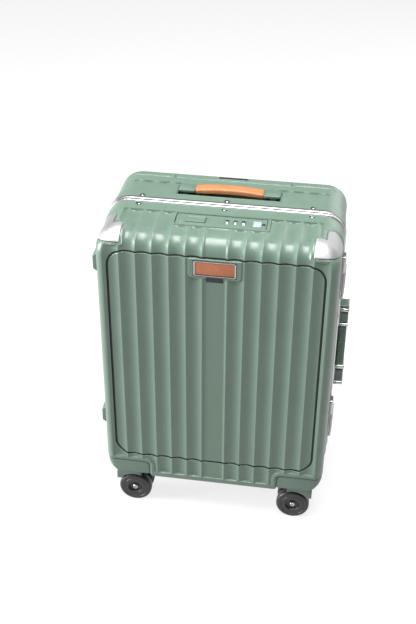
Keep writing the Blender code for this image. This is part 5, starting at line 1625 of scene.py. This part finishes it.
def latch_pieces(z, level):
    """A toggle latch: base plate with a fixed block and screws, and a lever with a lip and ribs."""
    wall = HALF_WIDTH + 0.0018
    low, high = z - 0.040, z + 0.040
    near, far = -0.0268, -0.0082
    axle = (HALF_WIDTH + 0.0050, -0.0215, 0)
    ear = [(0, low), (0.0022, low), (0.0022, low + 0.0055), (0, low + 0.0055)]
    parts = [soft_box((wall, near, low), (HALF_WIDTH + 0.0032, far, high), 0.0004, "x", 0.003),
             soft_box((wall, near, z + 0.0094), (HALF_WIDTH + 0.0070, far, high), 0.0012, "x", 0.003),
             lathe(ear, axle, "z", 20)]
    for dz in (0.0155, 0.0335):
        parts.append(soft_box((HALF_WIDTH + 0.0066, -0.0245, z + dz - 0.0035),
                              (HALF_WIDTH + 0.0074, -0.0105, z + dz + 0.0035), 0.0003, "x", 0.002))
    add_piece(f"{level}_latch_base", parts, finish("bright_metal"), "front_half", (f"latch_base_{level}",))
    start, end = low + 0.0058, z + 0.0087
    lip = HALF_WIDTH + 0.0050
    lever = [soft_box((lip, -0.0210, start), (HALF_WIDTH + 0.0078, 0.0118, end), 0.0009, "x", 0.003),
             lathe([(0, start), (0.0016, start), (0.0016, end), (0, end)], axle, "z", 20),
             soft_box((lip + 0.0012, 0.0075, start + 0.003), (HALF_WIDTH + 0.0085, 0.0112, end - 0.003),
                      0.0006, "x", 0.0015)]
    for k in range(3):
        y = -0.0115 + 0.0045 * k
        lever.append(soft_box((lip + 0.0015, y, start + 0.006),
                              (HALF_WIDTH + 0.0082, y + 0.0016, end - 0.006), 0.0004, "x", 0.0007))
    add_piece(f"{level}_latch_lever", lever, finish("guard_metal"), f"latch_lever_{level}",
              (f"latch_lever_{level}",))


def hinge_pieces(z, level):
    """A hinge on the frame's left side: front and rear knuckles in turn, their leaves, and the pin."""
    axis = -HALF_WIDTH - 0.0070
    low, part, play = z - 0.024, 0.016, 0.0003
    leaf = -HALF_WIDTH - LIP_SIDE - play

    def knuckle(start, end):
        """One of the barrel's lengths round the pin."""
        start, end = start + play, end - play
        return lathe([(0, start), (0.0026, start), (0.0030, start + 0.0004), (0.0030, end - 0.0004),
                      (0.0026, end), (0, end)],
                     (axis, 0, 0), "z", 24)

    front = [knuckle(low, low + part), knuckle(low + 2 * part, low + 3 * part)]
    for start in (low, low + 2 * part):
        front.append(soft_box((axis - 0.0006, -0.0074, start + play), (leaf, -0.0012, start + part - play),
                              0.0005, "x", 0.0015))
    add_piece(f"{level}_hinge_front", front, finish("bright_metal"), "front_half", (f"hinge_front_{level}",))
    rear = [knuckle(low + part, low + 2 * part),
            soft_box((axis - 0.0006, 0.0012, low + part + play), (leaf, 0.0074, low + 2 * part - play),
                     0.0005, "x", 0.0015)]
    head = [(0, -0.002), (0.0013, -0.002), (0.0013, 0.0), (0.0018, 0.0), (0.0016, 0.0005), (0, 0.0008)]
    for end, way in ((low, -1), (low + 3 * part, 1)):
        rear.append(lathe(head, (axis, 0, end), "z", 20, mirror=way))
    # The rear knuckles take the darker copy of the frame metal: painted shade.
    add_piece(f"{level}_hinge_rear", rear, finish("frame_metal_rear_shade"), "rear_half", (f"hinge_rear_{level}",))


def side_handle_pieces():
    """The side handle: metal end brackets with green caps, and a ribbed grip that pulls out."""
    wall, out = HALF_WIDTH + 0.0016, HALF_WIDTH + 0.0198
    y0, y1, z, grip_half = 0.0082, 0.0342, 0.2962, 0.0400
    for end, level in ((-1, "lower"), (1, "upper")):
        near, far = z + end * (grip_half + 0.0007), z + end * 0.0829
        low, high = sorted((near, far))
        stand = [soft_box((wall, y0, low), (HALF_WIDTH + 0.0046, y1, high), 0.0008, "x", 0.004)]
        bands = {1: ((0.0, 0.0065), (0.0289, 0.0360)), -1: ((0.0, 0.0085), (0.0349, 0.0422))}[end]
        for a, b in bands:
            s, e = sorted((near + end * a, near + end * b))
            stand.append(soft_box((wall, y0, s), (out, y1, e), 0.0014, "x", 0.003))
        bracket = add_piece(f"{level}_handle_bracket", stand, finish("bright_metal"), "rear_half",
                            (f"side_handle_bracket_{level}",))
        caps = []
        for a, b in {1: ((0.0069, 0.0285), (0.0364, 0.0422)), -1: ((0.0089, 0.0345),)}[end]:
            s, e = sorted((near + end * a, near + end * b))
            caps.append(soft_box((wall, y0 + 0.0008, s), (out - 0.0010, y1 - 0.0008, e), 0.0024, "x", 0.004))
        s, e = sorted((near - end * 0.01, near + end * 0.0111))
        slot = soft_box((HALF_WIDTH + 0.0023, y0 + 0.004, s), (HALF_WIDTH + 0.0127, y1 - 0.004, e), 0.0004,
                        "x", 0.001)
        cap = add_piece(f"{level}_handle_cap", caps, finish("sage_fittings"), "rear_half")
        cut(bracket, [slot], 30)
        cut(cap, [slot], 30)
    ring = rounded_outline(0.0120, 0.0070, 0.0035, 5)
    rings = []
    for share in np.linspace(-1, 1, 61):
        swell = 1 + 0.035 * math.cos(share * 24 * math.pi) * (abs(share) < 0.86)
        pinch = 1 - 0.12 * max(0.0, (abs(share) - 0.93) / 0.07) ** 2
        x = HALF_WIDTH + 0.0110 + ring[:, 1] * swell * pinch
        y = (y0 + y1) / 2 + ring[:, 0] * swell * pinch
        rings.append(np.stack((x, y, 0 * x + z + share * grip_half), axis=-1))
    tongue = soft_box((HALF_WIDTH + 0.0027, y0 + 0.0045, z - 0.0500),
                      (HALF_WIDTH + 0.0063, y1 - 0.0045, z + 0.0500), 0.0005, "z", 0.001)
    add_piece("side_grip", [capped(rings), tongue], finish("sage_fittings"), "side_handle",
              ("side_handle_grip",), 40)


def foot_pieces():
    """Feet on the left side: sloped blocks with soft edges and three grooves."""
    for side, word in ((FRONT, "front"), (REAR, "rear")):
        for level, z in FEET.items():
            tip, wall = -HALF_WIDTH - 0.0104, -HALF_WIDTH - 0.0002
            turn = np.linspace(0, 1, 5)
            outline = [(wall, z + 0.0193), (wall, z - 0.0193)]
            outline += [(tip + 0.002 * (1 - t) ** 2, z - 0.0134 + 0.0022 * t) for t in turn]
            outline += [(tip + 0.002 * t**2, z + 0.0112 + 0.0022 * t) for t in turn]
            zx = np.array(outline)[:, ::-1]
            y = side * 0.0745
            foot = block(zx, soft_levels(-0.013, 0.013, 0.0014, 4), "y", (0, y, 0))
            piece = add_piece(f"{word}_{level}_foot", [foot], finish("sage_shell"), f"{word}_half",
                              (f"side_foot_{word}_{level}",), 40)
            grooves = [soft_box((tip - 0.002, y - 0.009, groove - 0.0008),
                                (tip + 0.0008, y + 0.009, groove + 0.0008),
                                0.0003, "x", 0.0006) for groove in (z - 0.005, z, z + 0.005)]
            cut(piece, grooves, 35)


class SUITCASE_OT_casters(CaseOperator, bpy.types.Operator):
    """Make the wheel housings, forks and eight wheels"""

    bl_idname = "suitcase.casters"
    bl_label = "Casters"

    def execute(self, context):
        for y_side, place in ((FRONT, "front"), (REAR, "rear")):
            for x_side, hand in ((-1, "left"), (1, "right")):
                word = f"{place}_{hand}"
                housing = add_piece(f"{word}_housing", [housing_part(x_side, y_side)],
                                    finish("sage_fittings"), f"{place}_half",
                                    (f"caster_housing_{word}",), 40)
                px, py = x_side * CASTER_X, y_side * (DEPTH[y_side] - CASTER_IN)
                bore = [(0, 0.05), (0.0085, 0.05), (0.0085, 0.0712), (0.0064, 0.0712), (0.0064, 0.12),
                        (0, 0.12)]
                cut(housing, [lathe(bore, (px, py, 0), "z", 32)], 40)
                hoods, stem = fork_parts(x_side, y_side)
                body = f"caster_{word}"
                add_piece(f"{word}_fork", hoods, finish("sage_fittings"), body, (f"caster_fork_{word}",),
                          40)
                add_piece(f"{word}_stem", stem, finish("bright_metal"), body)
                wx = px - x_side * WHEEL_TRAIL
                for end, which in ((-1, "a"), (1, "b")):
                    wheel = (wx, py + end * (WHEEL_GAP + WHEEL_WIDE) / 2, WHEEL_Z)
                    body = f"wheel_{word}_{which}"
                    tyre = lathe(wheel_profile(), wheel, "y", 72, mirror=end)
                    add_piece(f"{word}_tyre_{which}", [tyre], finish("rubber_tyre"), body, (body,),
                              30)
                    bolt = lathe(bolt_profile(), wheel, "y", 30, mirror=end)
                    add_piece(f"{word}_bolt_{which}", [bolt], finish("bright_metal"), body,
                              sharp=30)
        return {"FINISHED"}


class SUITCASE_OT_inside(CaseOperator, bpy.types.Operator):
    """Finish the linings and the pull-out handle's tubes"""

    bl_idname = "suitcase.inside"
    bl_label = "Linings and tubes"

    def execute(self, context):
        finishes = {"front_lining": "lining_cloth", "rear_lining": "lining_cloth"}
        for hand in ("left", "right"):
            finishes[f"trolley_sleeve_{hand}"] = "tube_metal"
            finishes[f"trolley_stage_{hand}"] = "tube_metal"
        paint_nodes(finishes)
        return {"FINISHED"}


class SUITCASE_OT_stage(CaseOperator, bpy.types.Operator):
    """Make the floor, the lights and the camera"""

    bl_idname = "suitcase.stage"
    bl_label = "Stage, lights and camera"

    def execute(self, context):
        scene = context.scene
        mesh = bpy.data.meshes.new("studio_floor")
        size = 8.0
        corners = [(-size, -size, 0), (size, -size, 0), (size, size, 0), (-size, size, 0)]
        mesh.from_pydata([(x, y, z - 0.0002) for x, y, z in corners], [], [(0, 1, 2, 3)])
        floor = bpy.data.objects.new("studio_floor", mesh)
        scene.collection.objects.link(floor)
        material, tree, shader, place = start_material("floor_paper")
        speck = ramp_node(tree, noise_node(tree, place, 300.0, 4.0), 0.3, 0.7)
        tree.links.new(mix_colour(tree, speck, (0.16, 0.16, 0.16), (0.18, 0.18, 0.18)),
                       shader.inputs["Base Color"])
        shader.inputs["Roughness"].default_value = 0.9
        shader.inputs["Specular IOR Level"].default_value = 0.1
        shader.inputs["Emission Color"].default_value = (1, 1, 1, 1)
        shader.inputs["Emission Strength"].default_value = 0.80
        mesh.materials.append(material)
        world = bpy.data.worlds.new("studio")
        scene.world = world
        world.use_nodes = True
        back = world.node_tree.nodes["Background"]
        back.inputs["Color"].default_value = (1, 1, 1, 1)
        back.inputs["Strength"].default_value = 0.10
        for name, place, size, power in (("key", (-2.75, -0.65, 0.80), 1.0, 185),
                                         ("top", (0.0, -0.30, 2.35), 1.5, 125),
                                         ("back", (1.4, 2.0, 1.2), 1.6, 20)):
            light = bpy.data.lights.new(name, "AREA")
            light.size = size
            light.energy = power
            lamp = bpy.data.objects.new(name, light)
            scene.collection.objects.link(lamp)
            lamp.location = place
            lamp.rotation_euler = (Vector((0, 0, 0.3)) - lamp.location).to_track_quat("-Z", "Y").to_euler()
        lens = bpy.data.cameras.new("view")
        lens.lens = 60.62
        lens.sensor_width = 36.0
        camera = bpy.data.objects.new("view", lens)
        yaw, pitch, roll = -0.1505, 0.5921, 0.0066
        turn = (Matrix.Rotation(-yaw, 4, "Z") @ Matrix.Rotation(math.pi / 2 - pitch, 4,
                                                                "X") @ Matrix.Rotation(roll, 4, "Z"))
        camera.matrix_world = Matrix.Translation((0.1901, -1.4650, 1.3479)) @ turn
        scene.collection.objects.link(camera)
        scene.camera = camera
        scene.view_settings.view_transform = "Standard"
        return {"FINISHED"}


OPERATORS = (SUITCASE_OT_shells, SUITCASE_OT_door, SUITCASE_OT_frame, SUITCASE_OT_guards, SUITCASE_OT_lock,
             SUITCASE_OT_top_handle, SUITCASE_OT_trolley, SUITCASE_OT_side_fittings, SUITCASE_OT_casters,
             SUITCASE_OT_inside, SUITCASE_OT_stage)


class SUITCASE_PT_panel(bpy.types.Panel):
    """The suitcase's sizes, finishes and pieces"""

    bl_idname = "SUITCASE_PT_panel"
    bl_label = "Suitcase"
    bl_space_type = "VIEW_3D"
    bl_region_type = "UI"
    bl_category = "Suitcase"

    def draw(self, context):
        layout = self.layout
        for group in (context.scene.suitcase_sizes, context.scene.suitcase_finishes):
            for name in group.bl_rna.properties.keys():
                if name not in ("rna_type", "name"):
                    layout.prop(group, name)
        for operator in OPERATORS:
            layout.operator(operator.bl_idname)


CLASSES = (SuitcaseSizes, SuitcaseFinishes, *OPERATORS, SUITCASE_PT_panel)


def register():
    """Adds the classes and the scene's two groups of settings."""
    for cls in CLASSES:
        bpy.utils.register_class(cls)
    bpy.types.Scene.suitcase_sizes = PointerProperty(type=SuitcaseSizes)
    bpy.types.Scene.suitcase_finishes = PointerProperty(type=SuitcaseFinishes)


def unregister():
    """Takes them away again."""
    del bpy.types.Scene.suitcase_finishes
    del bpy.types.Scene.suitcase_sizes
    for cls in reversed(CLASSES):
        bpy.utils.unregister_class(cls)


def main():
    """Runs every operator."""
    register()
    for operator in OPERATORS:
        area, name = operator.bl_idname.split(".")
        getattr(getattr(bpy.ops, area), name)()


if __name__ == "__main__":
    main()
